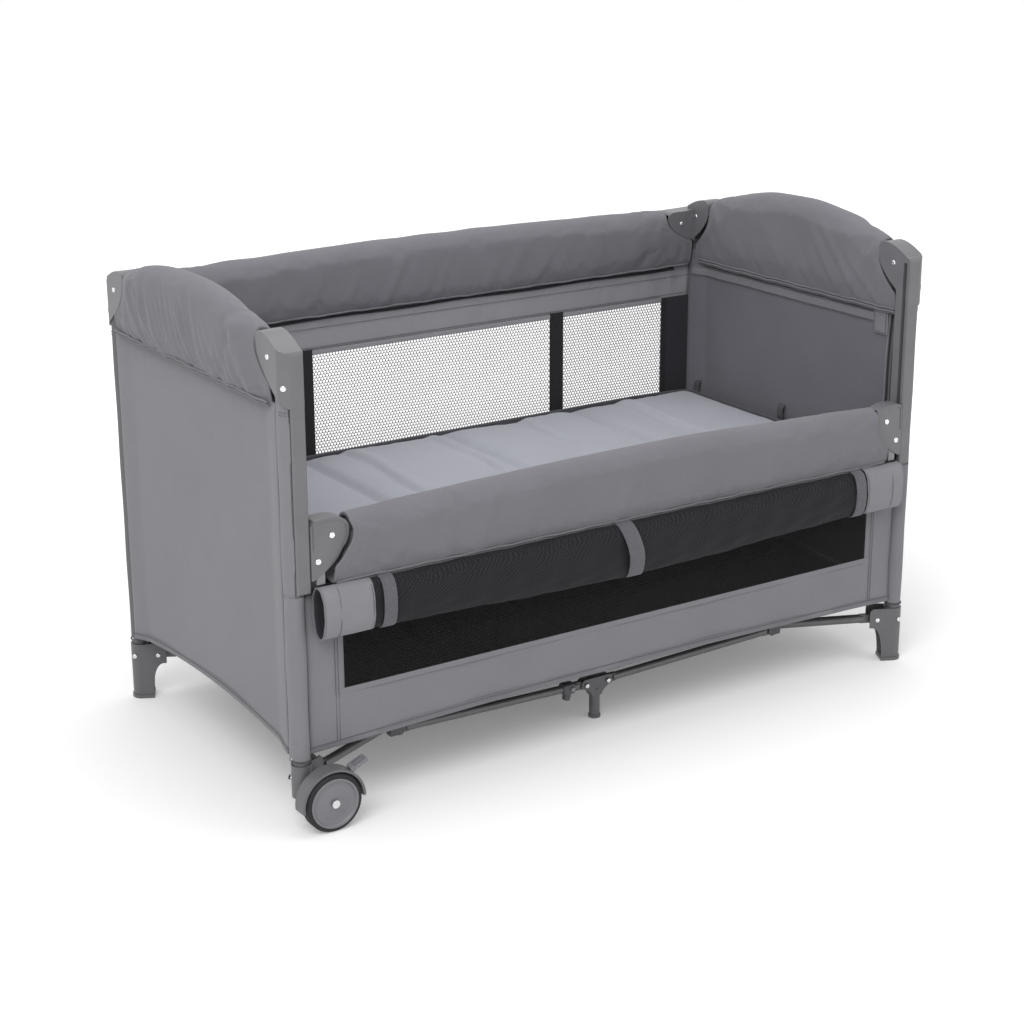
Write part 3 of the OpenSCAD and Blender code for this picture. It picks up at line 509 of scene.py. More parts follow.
GREY = (0.212, 0.208, 0.226)
LOOKS = {
    "cloth": woven("grey_woven_cloth", GREY, crease=0.1),
    "cover": woven("padded_cover_cloth", (0.174, 0.171, 0.190), crease=0.3),
    # Darker copy of the grey cloth for the rear sleeves: painted shade where the cloth turns away at the
    # rear posts
    "painted_shade_rear_post": woven("rear_post_painted_shade_cloth", (0.116, 0.113, 0.121), crease=0.1),
    # Darker copy of the grey cloth for the inner faces of the ends: painted shade of the cot's inside
    "lining": woven("inner_lining_painted_shade_cloth", (0.150, 0.147, 0.168), crease=0.25),
    "bed": woven("mattress_cloth", (0.350, 0.357, 0.402), crease=0.2, melange=0.06),
    # Lighter copy of the grey cloth for the back wall: painted light shining through the thin cloth from
    # behind
    "painted_backlight_sheer": woven("thin_band_painted_backlight_cloth", (0.300, 0.297, 0.315), crease=0.3),
    "floor": woven("floor_cloth", (0.052, 0.048, 0.051), crease=0.2),
    "piping": woven("piping_cloth", (0.185, 0.182, 0.198), thread=0.0008),
    "binding": woven("dark_binding", (0.070, 0.069, 0.078), thread=0.0009),
    "tape": woven("black_tape", (0.016, 0.016, 0.019), thread=0.0009),
    # Black cloth of the back wall's side strips, also used as a painted shade sheet inside the roll's cuffs
    "shade": woven("black_side_cloth_and_painted_shade", (0.028, 0.026, 0.033), crease=0.3),
    # Grey net thread made paler still: partly its own colour, partly painted light shining through the back
    # net from behind
    "net": woven("pale_net_thread_with_painted_backlight", (0.880, 0.880, 0.880), roughness=0.8),
    "dark_net": woven("black_net_thread", (0.016, 0.015, 0.017), roughness=0.8),
    "rolled": netted("rolled_black_net", (0.011, 0.010, 0.013)),
    "cuff": woven("cuff_cloth", (0.235, 0.232, 0.250), crease=0.2),
    "hook": hooked("grey_hook_tape", (0.215, 0.212, 0.228)),
    "strap": hooked("dark_hook_tape", (0.125, 0.123, 0.138)),
    "thread": new_material("sewing_thread", (0.07, 0.07, 0.08), 0.7)[0],
    # Black teeth of the zips; the same black also lines the sliders' slots as painted shade
    "zip": moulded("zip_teeth", (0.035, 0.035, 0.04), 0.35),
    "cap": moulded("cap_plastic", (0.152, 0.151, 0.162), 0.36),
    "dark": moulded("dark_plastic", (0.098, 0.098, 0.106), 0.45),
    "foot": moulded("foot_plastic", (0.128, 0.128, 0.136), 0.40),
    "wheel": moulded("wheel_plastic", (0.190, 0.190, 0.205), 0.38),
    "button": moulded("button_plastic", (0.29, 0.29, 0.31), 0.35),
    "rubber": moulded("tyre_rubber", (0.014, 0.014, 0.016), 0.72, 0.3),
    "tube": metal("satin_grey_tube", (0.150, 0.150, 0.155), 0.42, 0.5),
    "steel": metal("bright_steel", (0.72, 0.72, 0.74), 0.22),
}


def dress(obj, key):
    """Gives a piece one material."""
    obj.data.materials.clear()
    obj.data.materials.append(LOOKS[key])
    return obj


def place(obj, key, body):
    """Gives a piece its material and lets it ride on a body."""
    dress(obj, key)
    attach(obj, body)
    return obj


# Camera, lights and floor
CAMERA_AT = Vector((-1.8969, -2.8488, 1.4328))
CAMERA_YAW, CAMERA_PITCH, CAMERA_ROLL = 33.31, 18.18, -0.20
CAMERA_LENS = 72.37


def add_camera():
    """The camera that took the photo, solved from the frame's corners."""
    data = bpy.data.cameras.new("camera")
    data.lens = CAMERA_LENS
    data.sensor_width = 36
    data.clip_end = 60
    camera = bpy.data.objects.new("camera", data)
    camera.location = CAMERA_AT
    yaw = Matrix.Rotation(math.radians(-CAMERA_YAW), 3, "Z")
    pitch = Matrix.Rotation(math.radians(90 - CAMERA_PITCH), 3, "X")
    roll = Matrix.Rotation(math.radians(CAMERA_ROLL), 3, "Z")
    camera.rotation_euler = (yaw @ pitch @ roll).to_euler()
    scene.collection.objects.link(camera)
    scene.camera = camera


def area_light(name, at, target, size, power):
    """A round soft light that faces its target."""
    data = bpy.data.lights.new(name, "AREA")
    data.shape = "DISK"
    data.size = size
    data.energy = power
    lamp = bpy.data.objects.new(name, data)
    lamp.location = at
    lamp.rotation_euler = (Vector(target) - Vector(at)).to_track_quat("-Z", "Y").to_euler()
    scene.collection.objects.link(lamp)


def seen_directly(tree):
    """One on rays from the camera, also through glass or in a shine, and zero on others."""
    paths = node(tree, "ShaderNodeLightPath")
    seen = math_of(tree, "MAXIMUM", paths.outputs["Is Camera Ray"], paths.outputs["Is Glossy Ray"])
    return math_of(tree, "MAXIMUM", seen, paths.outputs["Is Transmission Ray"])


def add_studio():
    """White surroundings, three soft lights and a pale floor that melts into the background."""
    scene.view_settings.view_transform = "Standard"
    world = bpy.data.worlds.new("studio")
    scene.world = world
    world.use_nodes = True
    tree = world.node_tree
    strength = node(tree, "ShaderNodeMapRange")
    strength.inputs["To Min"].default_value = 0.60
    strength.inputs["To Max"].default_value = 1.0
    tree.links.new(seen_directly(tree), strength.inputs["Value"])
    back = tree.nodes["Background"]
    tree.links.new(strength.outputs["Result"], back.inputs["Strength"])
    back.inputs["Color"].default_value = (1, 1, 1, 1)
    area_light("key", (-2.6, -2.2, 3.4), (0, 0, 0.4), 2.6, 85)
    area_light("fill", (2.8, -3.0, 2.4), (0, 0, 0.4), 3.0, 20)
    area_light("top", (0.2, 0.3, 3.6), (0, 0, 0.3), 3.0, 40)
    corners = [(-12, -12, 0), (12, -12, 0), (12, 12, 0), (-12, 12, 0)]
    floor = add_object("studio_floor", corners, [(0, 1, 2, 3)], smooth=False)
    material, tree, shader = new_material("pale_floor", (0.90, 0.90, 0.90), 0.6, specular=0.1)
    shader.inputs["Emission Color"].default_value = (1, 1, 1, 1)
    spot = node(tree, "ShaderNodeVectorMath", operation="LENGTH")
    tree.links.new(object_point(tree), spot.inputs[0])
    away = node(tree, "ShaderNodeMapRange", interpolation_type="SMOOTHSTEP")
    for socket, value in (("From Min", 0.6), ("From Max", 2.4), ("To Min", 0.16), ("To Max", 0.55)):
        away.inputs[socket].default_value = value
    tree.links.new(spot.outputs["Value"], away.inputs["Value"])
    glow = math_of(tree, "MULTIPLY", seen_directly(tree), away.outputs["Result"])
    tree.links.new(glow, shader.inputs["Emission Strength"])
    floor.data.materials.append(material)


add_camera()
add_studio()


# Copies of one small piece by Geometry Nodes
def instances(name, points, unit, key, size, turns=None):
    """Puts the unit on every point at the given size, turned by its angles, as one plain mesh."""
    unit.data.materials.clear()
    base = add_object(name, points, [], smooth=False)
    angles = np.zeros((len(points), 3)) if turns is None else np.asarray(turns, float)
    turn = base.data.attributes.new("turn", "FLOAT_VECTOR", "POINT")
    turn.data.foreach_set("vector", angles.astype(np.float32).ravel())
    tree = bpy.data.node_groups.new(name + "_copies", "GeometryNodeTree")
    tree.interface.new_socket("Geometry", in_out="INPUT", socket_type="NodeSocketGeometry")
    tree.interface.new_socket("Geometry", in_out="OUTPUT", socket_type="NodeSocketGeometry")
    sized = tree.interface.new_socket("Unit size", in_out="INPUT", socket_type="NodeSocketFloat")
    start, end = tree.nodes.new("NodeGroupInput"), tree.nodes.new("NodeGroupOutput")
    source = node(tree, "GeometryNodeObjectInfo")
    source.inputs["Object"].default_value = unit
    angle = node(tree, "GeometryNodeInputNamedAttribute", data_type="FLOAT_VECTOR")
    angle.inputs["Name"].default_value = "turn"
    euler = node(tree, "FunctionNodeEulerToRotation")
    copies = node(tree, "GeometryNodeInstanceOnPoints")
    real = node(tree, "GeometryNodeRealizeInstances")
    paint = node(tree, "GeometryNodeSetMaterial")
    paint.inputs["Material"].default_value = LOOKS[key]
    tree.links.new(start.outputs["Geometry"], copies.inputs["Points"])
    tree.links.new(start.outputs["Unit size"], copies.inputs["Scale"])
    tree.links.new(source.outputs["Geometry"], copies.inputs["Instance"])
    tree.links.new(angle.outputs["Attribute"], euler.inputs["Euler"])
    tree.links.new(euler.outputs["Rotation"], copies.inputs["Rotation"])
    tree.links.new(copies.outputs["Instances"], real.inputs["Geometry"])
    tree.links.new(real.outputs["Geometry"], paint.inputs["Geometry"])
    tree.links.new(paint.outputs["Geometry"], end.inputs[0])
    mod = base.modifiers.new("copies", "NODES")
    mod.node_group = tree
    mod[sized.identifier] = float(size)
    finished(base)
    bpy.data.objects.remove(unit)
    return base


STITCH, STITCH_STEP = 0.0026, 0.0038


def stitch_unit():
    """A sewn stitch of length 1 along X, its ends dipping into the cloth."""
    thick = 0.173
    line = [(a, 0, thick * (1 - 6 * a * a)) for a in np.linspace(-0.5, 0.5, 5)]
    return tube("stitch_unit", line, thick, sides=5)


def stitches(name, lines, face, body=None):
    """Rows of stitches along polylines, lying on a surface that faces the given way."""
    points, turns = [], []
    face = Vector(face).normalized()
    for line in lines:
        line = np.asarray(line, float)
        length = np.linalg.norm(np.diff(line, axis=0), axis=1).sum()
        row = resample(line, max(3, int(length / STITCH_STEP)))
        ahead = np.gradient(row, axis=0)
        for p, a in zip(row, ahead):
            x = Vector(a).normalized()
            y = face.cross(x).normalized()
            basis = Matrix((x, y, x.cross(y))).transposed()
            points.append(p)
            turns.append(basis.to_euler())
    made = instances(name, points, stitch_unit(), "thread", STITCH, turns)
    return place(made, "thread", body) if body else made


def rivet_unit():
    """A domed rivet head of radius 1 with a shallow dimple, facing +Z."""
    height, dimple, sides = 0.36, 0.72, 20
    profile = [(0.30, 0.74), (0.42, 0.98), (0.62, 1.0), (0.82, 0.78), (0.96, 0.42), (1.0, 0.0)]
    angles = np.linspace(0, 2 * math.pi, sides, endpoint=False)
    rings = [[(r * math.cos(a), r * math.sin(a), height * z) for a in angles] for r, z in profile]
    verts = [v for ring in rings for v in ring] + [(0, 0, height * dimple)]
    faces = grid_faces(len(rings), sides, wrap=True)
    faces += [(j, (j + 1) % sides, len(verts) - 1) for j in range(sides)]
    return point_outwards(add_object("rivet_unit", verts, faces))


def rivets(name, places, body, radius=0.0045):
    """Rivet heads: places is a list of (point, direction that the head faces)."""
    turns = [Vector(face).to_track_quat("Z", "Y").to_euler() for _, face in places]
    made = instances(name, [p for p, _ in places], rivet_unit(), "steel", radius, turns)
    return place(made, "steel", body)


# Ends of the covers
def quadratic(p, q, r, t):
    """Curve from p to r that is drawn towards q."""
    return (1 - t) ** 2 * p + 2 * t * (1 - t) * q + t * t * r


BLOCK_REACH, END_GAP = 0.0210, 0.0006
SLIDER_REACH, SLIDER_GAP = 0.0555, 0.0035


def ear_reach(z, pivot_z, tip, drop):
    """Distance from the post at which a cover ends at height z, beside a rail's ear."""
    t = np.linspace(0, 1, 40)
    out = quadratic(tip, tip - 0.004, 0.020, t)
    height = pivot_z + quadratic(0.008, -0.014, -0.58 * drop, t)
    return np.maximum(np.interp(z, height[::-1], out[::-1]) + END_GAP, BLOCK_REACH)


def slider_reach(z):
    """The same beside a slider's ear."""
    t = np.linspace(0, 1, 20)
    upper, lower = quadratic(0.015, -0.004, -0.026, t), quadratic(-0.038, -0.055, -0.067, t)
    out = np.r_[quadratic(0.080, 0.089, 0.072, t), quadratic(0.064, 0.048, 0.024, t)]
    height = SIDE_RAIL_Z + np.r_[upper, lower]
    return np.maximum(np.interp(z, height[::-1], out[::-1]) + SLIDER_GAP, SLIDER_REACH)


# Padded covers of the rails
def cover_outline(low, high, half, count, inset=0.0):
    """Pear-shaped outline (out, z): full above, drawn in to a rounded hem below."""
    tall = high - low
    side = [(0.0, 0.0), (0.011, 0.0), (0.0145, 0.004), (half * 0.76, 0.10 * tall),
            (half * 0.93, 0.30 * tall), (half, 0.55 * tall)]
    over = [(half * math.cos(math.radians(a)), tall - half + half * math.sin(math.radians(a)))
            for a in range(0, 90, 15)]
    right = side + over + [(0.0, tall)]
    ring = np.array(right + [(-x, z) for x, z in reversed(right[1:-1])])
    for _ in range(2):
        nearer = np.roll(ring, -1, 0)
        cut = [0.75 * ring + 0.25 * nearer, 0.25 * ring + 0.75 * nearer]
        ring = np.stack(cut, 1).reshape(-1, 2)
    ring = resample(ring, count, closed=True)
    ring[:, 0] *= (half - inset) / np.abs(ring[:, 0]).max()
    share = (ring[:, 1] - ring[:, 1].min()) / np.ptp(ring[:, 1])
    ring[:, 1] = low + inset + share * (tall - 2 * inset)
    return ring


# Power of the curve that a cover's top edge follows between its shoulders
CROWN = 2.1


def padded_cover(name, along, out, base, heights, reach, seed, folds, taper, drop):
    """Cover as a closed skin, with the two loops at its ends. along and out are unit vectors, heights
    are those of its hem, its shoulders and its crown, reach(z) is its half length at a height, folds
    holds the creases of its outer and its inner face, and taper is how much the outer face draws in to
    lie flush with the ears. The inner edge hangs lower by drop."""
    low, shoulder, top = heights
    along, out, base = np.array(along, float), np.array(out, float), np.array(base, float)
    count, lip = 64, 0.004
    half = float(reach(np.array([top]))[0])
    stations = int(2 * half / 0.006)

    def ring(u, inset=0.0, back=0.0):
        high = shoulder + (top - shoulder) * (1 - abs(u) ** CROWN)
        points = cover_outline(low, high, COVER_T / 2 * (1 - 0.05 * abs(u) ** 6), count, inset)
        s = u * reach(points[:, 1]) - math.copysign(back, u)
        near = np.clip(1 - (half * (1 - abs(u)) + back) / 0.055, 0, 1)
        points[:, 0] *= np.where(points[:, 0] > 0, 1 - taper * near * near * (3 - 2 * near), 1)
        hang = np.clip((shoulder - points[:, 1]) / (shoulder - low), 0, 1)
        points[:, 1] -= drop * hang * np.clip(0.5 - points[:, 0] / 0.028, 0, 1)
        rise = np.outer(points[:, 1], (0, 0, 1))
        return base + np.outer(s, along) + np.outer(points[:, 0], out) + rise

    recess = [(lip + 0.004, 0.012), (lip + 0.001, 0.004)]
    turn = [math.radians(a) for a in (90, 60, 30)]
    end = recess + [(lip * (1 - math.cos(a)), lip * (1 - math.sin(a))) for a in turn]
    edge = 1 - lip / half
    rings = [ring(-1.0, *e) for e in end]
    rings += [ring(u) for u in np.linspace(-edge, edge, stations)]
    rings += [ring(1.0, *e) for e in reversed(end)]
    obj = shell(name, rings)
    co = coords(obj)
    s, side, reached = (co - base) @ along, (co - base) @ out, reach(co[:, 2])
    high = shoulder + (top - shoulder) * (1 - np.clip(np.abs(s) / reached, 0, 1) ** CROWN)
    foot = low - drop * np.clip(0.5 - side / 0.028, 0, 1)
    height = (co[:, 2] - foot) / (high - foot)
    pinned = (height < 0.05) | (np.abs(s) > reached - 0.014)
    simulate(obj, pinned, pressure=1.6, spare=0.010, cap=0.0035)
    co, normal = coords(obj), normals(obj)
    move = 0.0009 * smooth_noise(np.stack([s, side, co[:, 2]], 1), 0.11, seed + 5)
    for face, settings in ((1, folds[0]), (-1, folds[1])):
        field = fold_field(s, height, seed + face, span=half, **settings)
        move += field * np.clip(face * side / 0.010, 0, 1)
    move += 0.0005 * np.sin(s * 570 + 2 * np.sin(s * 23)) * np.clip(1 - height / 0.16, 0, 1)
    fade = np.clip((reached - np.abs(s) - 0.004) / 0.03, 0, 1)
    set_coords(obj, co + normal * (move * fade)[:, None])
    loops = [resample(ring(u, 0.0012, 0.0024), 150, closed=True) for u in (-1.0, 1.0)]
    return subdivide(obj), loops


def hem_line(along, out, base, half, offset, z):
    """A line along the bottom of a cover: offset outwards from its middle, at height z."""
    count = 120
    s = np.linspace(-half, half, count)
    wave = 0.0006 * np.sin(s * 61) + 0.0004 * np.sin(s * 143 + 1)
    line = np.array(base) + np.outer(s, along) + np.outer(np.full(count, offset), out)
    line[:, 2] = z + wave
    return line


def piped_cover(name, along, out, base, heights, reach, seed, folds, pipes, node_name,
                taper=0.42, drop=0.0):
    """A cover with its piping."""
    cover, loops = padded_cover(name, along, out, base, heights, reach, seed, folds, taper, drop)
    low = heights[0]
    half = float(reach(np.array([low]))[0]) - 0.004
    lines = []
    for offset, rise, radius in pipes:
        hem = hem_line(along, out, base, half, offset, low + rise - (drop if offset < 0 else 0))
        lines.append(tube("pipe", hem, radius))
    lines += [tube("lip", loop, 0.0018, closed=True, up=along) for loop in loops]
    piping = joined(name + "_piping", lines)
    for piece, key in ((cover, "cover"), (piping, "piping")):
        dress(piece, key)
        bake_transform(piece)
    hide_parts(node_name)


# Creases of a cover's face, and the cords of its hem as (offset, rise, radius)
GATHERED = dict(count=34, lean=0.045, width=0.0060, depth=0.0038)
SOFT = dict(count=9, lean=0.050, width=0.013, depth=0.0019)
SLANTED = dict(count=11, lean=0.110, width=0.008, depth=0.0021)
EASED = dict(count=14, lean=0.030, width=0.008, depth=0.0028)
DOUBLE = [(0.0148, 0.003, 0.0020), (0.0125, -0.0015, 0.0019), (-0.0148, 0.003, 0.0019)]
TRIPLE = [(-0.0152, 0.006, 0.0020), (-0.0148, 0.001, 0.0020), (-0.0120, -0.0025, 0.0019),
          (0.0148, 0.003, 0.0019)]


def end_reach(z):
    """Half length of an end cover at height z; the next two give the same for the long sides."""
    return POST_Y - ear_reach(z, END_RAIL_Z, 0.062, 0.072)


def back_reach(z):
    return POST_X - ear_reach(z, BACK_RAIL_Z, 0.082, 0.060)


def front_reach(z):
    return POST_X - slider_reach(z)


def add_covers():
    """The padded covers of both ends, the back and the lowered front rail."""
    out_x, out_y = POST_X + RAIL_OUT, POST_Y + RAIL_OUT
    end_heights = (END_LOW, END_SHOULDER, END_TOP)
    for side, letter, label, folds, pipes in ((-1, "l", "left", (GATHERED, EASED), DOUBLE),
                                              (1, "r", "right", (EASED, SLANTED), TRIPLE)):
        piped_cover("cover_end_" + label, (0, 1, 0), (side, 0, 0), (side * out_x, 0, 0), end_heights,
                    end_reach, 11 + side, folds, pipes, "end_cover_" + label,
                    drop=0.020)
    piped_cover("cover_back", (1, 0, 0), (0, 1, 0), (0, out_y, 0), (BACK_LOW, BACK_SHOULDER, BACK_TOP),
                back_reach, 31, (SOFT, dict(SOFT, count=16)), DOUBLE,
                "back_cover")
    piped_cover("cover_front", (1, 0, 0), (0, -1, 0), (0, -out_y, 0),
                (FRONT_LOW, FRONT_SHOULDER, FRONT_TOP), front_reach, 41, (dict(SOFT, count=11), SOFT),
                DOUBLE, "front_cover",
                taper=0.0)


# Mattress
BED_X, BED_Y = 0.580, 0.283
BED_SEAMS = (-0.29, 0.0, 0.29)

# Creases: place at the middle, slant, and the y of the rear and the front end
BED_CREASES = ((-0.215, 0.01, 0.25, -0.06), (-0.045, 0.06, 0.23, -0.02), (0.148, 0.05, 0.27, 0.08),
               (0.40, -0.05, 0.26, 0.02))


def crease_line(crease, y):
    """The x of a crease at y."""
    return crease[0] + crease[1] * y + 0.007 * np.sin(y * 21 + crease[0] * 9)


def bed_rise(x, y):
    """Each part of the mattress rises at its crease and sinks towards the next one."""
    rise = np.zeros(np.shape(x))
    lines = [crease_line(c, y) for c in BED_CREASES] + [np.full(np.shape(x), BED_X)]
    for line, after in zip(lines, lines[1:]):
        t = np.clip((x - line + 0.008) / 0.020, 0, 1)
        rise += 0.0048 * (t * t * (3 - 2 * t) - np.clip((x - line) / (after - line), 0, 1))
    return rise


def add_mattress():
    """Four quilted panels: crowned, drawn in between the corners, with sewn channels between."""
    count, stations, across = 132, 190, 53
    corner = 0.018

    def plan_half(x):
        past = max(0.0, abs(x) - (BED_X - corner))
        rounded = BED_Y - corner + math.sqrt(max(corner ** 2 - past ** 2, 0.0))
        return rounded - 0.002 * math.sin(abs(x) * 21) ** 2

    def ring(x, scale=1.0):
        half = plan_half(x)
        low, high = RAISED_Z + 0.0005, BED_Z - 0.001
        mid = (low + high) / 2
        y = np.linspace(-1, 1, across)
        top = np.stack([half * y, np.full(across, high)], 1)[1:-1]
        bottom = np.stack([half * y[::-1], np.full(across, low)], 1)[1:-1]
        right = [(half + 0.0008, high - 0.004), (half - 0.001, mid), (half, low + 0.003)]
        left = [(-a, b) for a, b in reversed(right)]
        points = resample(np.vstack([top, right, bottom, left]), count, closed=True)
        points[:, 1] = mid + (points[:, 1] - mid) * scale
        return np.stack([np.full(count, x), points[:, 0], points[:, 1]], 1)

    inner = np.linspace(-(BED_X - 0.012), BED_X - 0.012, stations)
    ends = [(0.0, 0.45), (0.0015, 0.8), (0.005, 0.95), (0.009, 1.0)]
    rings = [ring(-BED_X + d, k) for d, k in ends] + [ring(x) for x in inner]
    rings += [ring(BED_X - d, k) for d, k in reversed(ends)]
    obj = shell("mattress_pad", rings)
    co = coords(obj)
    x, y = co[:, 0], co[:, 1]
    nearest = np.min([np.abs(x - seam) for seam in BED_SEAMS], axis=0)
    upper = co[:, 2] > (RAISED_Z + BED_Z) / 2
    rim = np.minimum(BED_X - np.abs(x), BED_Y - np.abs(y))
    pinned = (nearest < 0.004) | ~upper | (rim < 0.004)
    simulate(obj, pinned, pressure=2.5, spare=0.008, cap=0.004)
    co = coords(obj)
    quilt = 1 - np.exp(-(nearest / 0.020) ** 1.3)
    inside = np.clip(rim / 0.035, 0, 1)
    ease = inside * inside * (3 - 2 * inside)
    channel = np.exp(-(nearest / 0.009) ** 2) * np.clip(rim / 0.02, 0, 1)
    lift = 0.0045 * quilt * ease - 0.0065 * channel
    lift += 0.0009 * smooth_noise(co[:, :2], 0.16, 3) * ease
    for crease in BED_CREASES:
        line, (rear, front) = crease_line(crease, y), crease[2:]
        there = np.clip((rear + 0.02 - y) / 0.04, 0, 1) * np.clip((y - front) / 0.06, 0, 1)
        ridge = 0.0024 * np.exp(-((x - line - 0.012) / 0.009) ** 2)
        dent = 0.0046 * np.exp(-((x - line + 0.004) / 0.0055) ** 2)
        lift += (ridge - dent) * ease * there
    gather = np.exp(-(nearest / 0.022) ** 2) * np.sin(y * 300 + 3 * np.sin(y * 40)) * 0.0005
    share = np.clip((co[:, 2] - RAISED_Z) / (BED_Z - RAISED_Z), 0, 1)
    co[:, 2] += np.where(upper, lift + gather * ease, 0) + bed_rise(x, y) * share
    set_coords(obj, co)
    pad = subdivide(obj)
    edge, square = [], 0.06
    for a in np.linspace(0, 2 * math.pi, 420, endpoint=False):
        c, s = math.cos(a), math.sin(a)
        x = math.copysign(abs(c) ** square, c) * (BED_X - 0.001)
        y = math.copysign(abs(s) ** square, s) * (plan_half(x) - 0.0010)
        edge.append((x, y, BED_Z + 0.0002 + float(bed_rise(np.array(x), np.array(y)))))
    cords = []
    for lower in (0.0, 0.0038):
        line = resample([(x, y, z - lower) for x, y, z in edge], 640, closed=True)
        cords.append(tube("cord", line, 0.0033, sides=10, closed=True))
    binding = joined("mattress_binding", cords)
    for piece, key in ((pad, "bed"), (binding, "binding")):
        place(piece, key, "mattress")
        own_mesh(piece)
    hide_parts("mattress")


# Walls
def fabric_grid(name, lines_u, lines_v, point, holes=(), thickness=0.0016):
    """A sheet over a grid of u and v lines; point(u, v) gives its place, holes are (u0, u1, v0, v1)."""
    verts = [point(u, v) for v in lines_v for u in lines_u]
    faces, cols = [], len(lines_u)
    for i in range(len(lines_v) - 1):
        for j in range(cols - 1):
            u, v = (lines_u[j] + lines_u[j + 1]) / 2, (lines_v[i] + lines_v[i + 1]) / 2
            if any(a < u < b and c < v < d for a, b, c, d in holes):
                continue
            k = i * cols + j
            faces.append((k, k + 1, k + cols + 1, k + cols))
    obj = add_object(name, verts, faces)
    bm = bmesh.new()
    bm.from_mesh(obj.data)
    loose = [v for v in bm.verts if not v.link_faces]
    bmesh.ops.delete(bm, geom=loose, context="VERTS")
    bm.to_mesh(obj.data)
    bm.free()
    return thicken(obj, thickness)


def steps(low, high, size, marks=()):
    """Grid lines from low to high about size apart, with a line at each mark."""
    stops = sorted({low, high, *[m for m in marks if low < m < high]})
    out = [low]
    for a, b in zip(stops, stops[1:]):
        out += list(np.linspace(a, b, max(1, round((b - a) / size)) + 1)[1:])
    return out


def ribbon(name, points, side, width, thickness):
    """A flat band along points, width across the side direction."""
    points, side = np.asarray(points, float), np.asarray(side, float)
    rows = [[p + side * w for w in np.linspace(-width / 2, width / 2, 4)] for p in points]
    obj = add_object(name, np.array(rows).reshape(-1, 3).tolist(), grid_faces(len(points), 4))
    return thicken(obj, thickness, bevel=thickness * 0.3)


def end_hem(y):
    """Height of an end wall's arched hem."""
    return HEM_Z + HEM_RISE_END * (1 - (y / POST_Y) ** 2)


def side_hem(x):
    """Height of a long wall's arched hem."""
    return HEM_Z + HEM_RISE_SIDE * (1 - (x / POST_X) ** 2)


WALL_Y = POST_Y - POST_R - 0.001
SLEEVE_SIDES = 36


def sleeve_ring(cx, cy, sx, sy, z, cut, seed):
    """Section of the sleeve round a post: round, but square where the end panel leaves it."""
    r = SLEEVE_R + 0.0003 * math.sin(z * 37 + seed)
    ring = []
    for a in np.linspace(0, 2 * math.pi, SLEEVE_SIDES, endpoint=False):
        out, across = math.cos(a), math.sin(a)
        if out > 0 and across > 0:
            out, across = out ** 0.45, 1.2 * across ** 0.45
        out = max(r * out, 0.0048) if cut else r * out
        ring.append((cx + sx * out, cy - sy * across * r, z))
    return ring


def add_sleeves():
    """Sleeves of the end panels, one on each post, sewn double at their upper hem."""
    low, top, guide = FOOT_PIVOT_Z + 0.026, END_LOW + 0.024, FRONT_LOW - 0.010
    for name, (sx, sy) in CORNERS.items():
        cx, cy = sx * POST_X, sy * POST_Y
        spans = [(low, top, False)] if sy > 0 else [(low, guide - 0.002, False), (guide - 0.002, top, True)]
        parts = []
        for z0, z1, cut in spans:
            heights = np.linspace(z0, z1, int((z1 - z0) / 0.007))
            rings = [sleeve_ring(cx, cy, sx, sy, z, cut, cx * 3 + cy) for z in heights]
            parts.append(shell("sleeve_part", rings))
        sleeve = joined("sleeve_" + name, parts)
        # The rear sleeves wear the darker copy of the cloth as painted shade
        place(sleeve, "cloth" if sy < 0 else "painted_shade_rear_post", "corner_" + name)
        wide = SLEEVE_R * 1.02
        cuff = [(cx + sx * wide * math.cos(a), cy - sy * wide * math.sin(a), low + 0.003)
                for a in np.linspace(0, 2 * math.pi, 30, endpoint=False)]
        place(tube("sleeve_cuff_" + name, cuff, 0.0017, closed=True), "binding", "corner_" + name)
        arc = [math.radians(a) for a in range(-88, -2, 6)]
        skin = SLEEVE_R + 0.0004
        rows = [[(cx + sx * skin * math.cos(a), cy - sy * skin * math.sin(a), z) for a in arc]
                for z in (END_LOW - 0.006, END_LOW - 0.0105)]
        stitches("stitches_sleeve_" + name, rows, (sx, sy, 0), body="corner_" + name)


def panel_x(y):
    """How far out an end panel lies: it swells outwards to meet the sleeves."""
    swell = 0.050
    t = min(1.0, max(0.0, (abs(y) - WALL_Y + swell) / swell))
    return END_SHEET_X + (POST_X + SLEEVE_R - WALL_SKIN - END_SHEET_X) * t * t * (3 - 2 * t)


def lining_at(t, z):
    """Place on the lining of an end, t from its curved front edge (0) to the rear corner (1)."""
    front = LINING_FRONT + 0.010 * (1 - (z - 0.36) / (END_LOW - 0.36))
    bend = POST_Y - 0.040
    y = front + (LINING_BACK - front) * t
    k = max(0.0, (y - bend) / (LINING_BACK - bend))
    wave = 0.0009 * math.sin(y * 19 + z * 13) + 0.0006 * math.sin(y * 47 - z * 31)
    away = 0.9 * (y - front) + max(0.0, z - 0.42)
    pull = 0.0012 * math.sin(40 * (y + 0.8 * z)) * math.exp(-away / 0.16)
    return LINING_X + (LINING_CORNER - LINING_X) * k - (wave + pull) * (1 - k), y, z


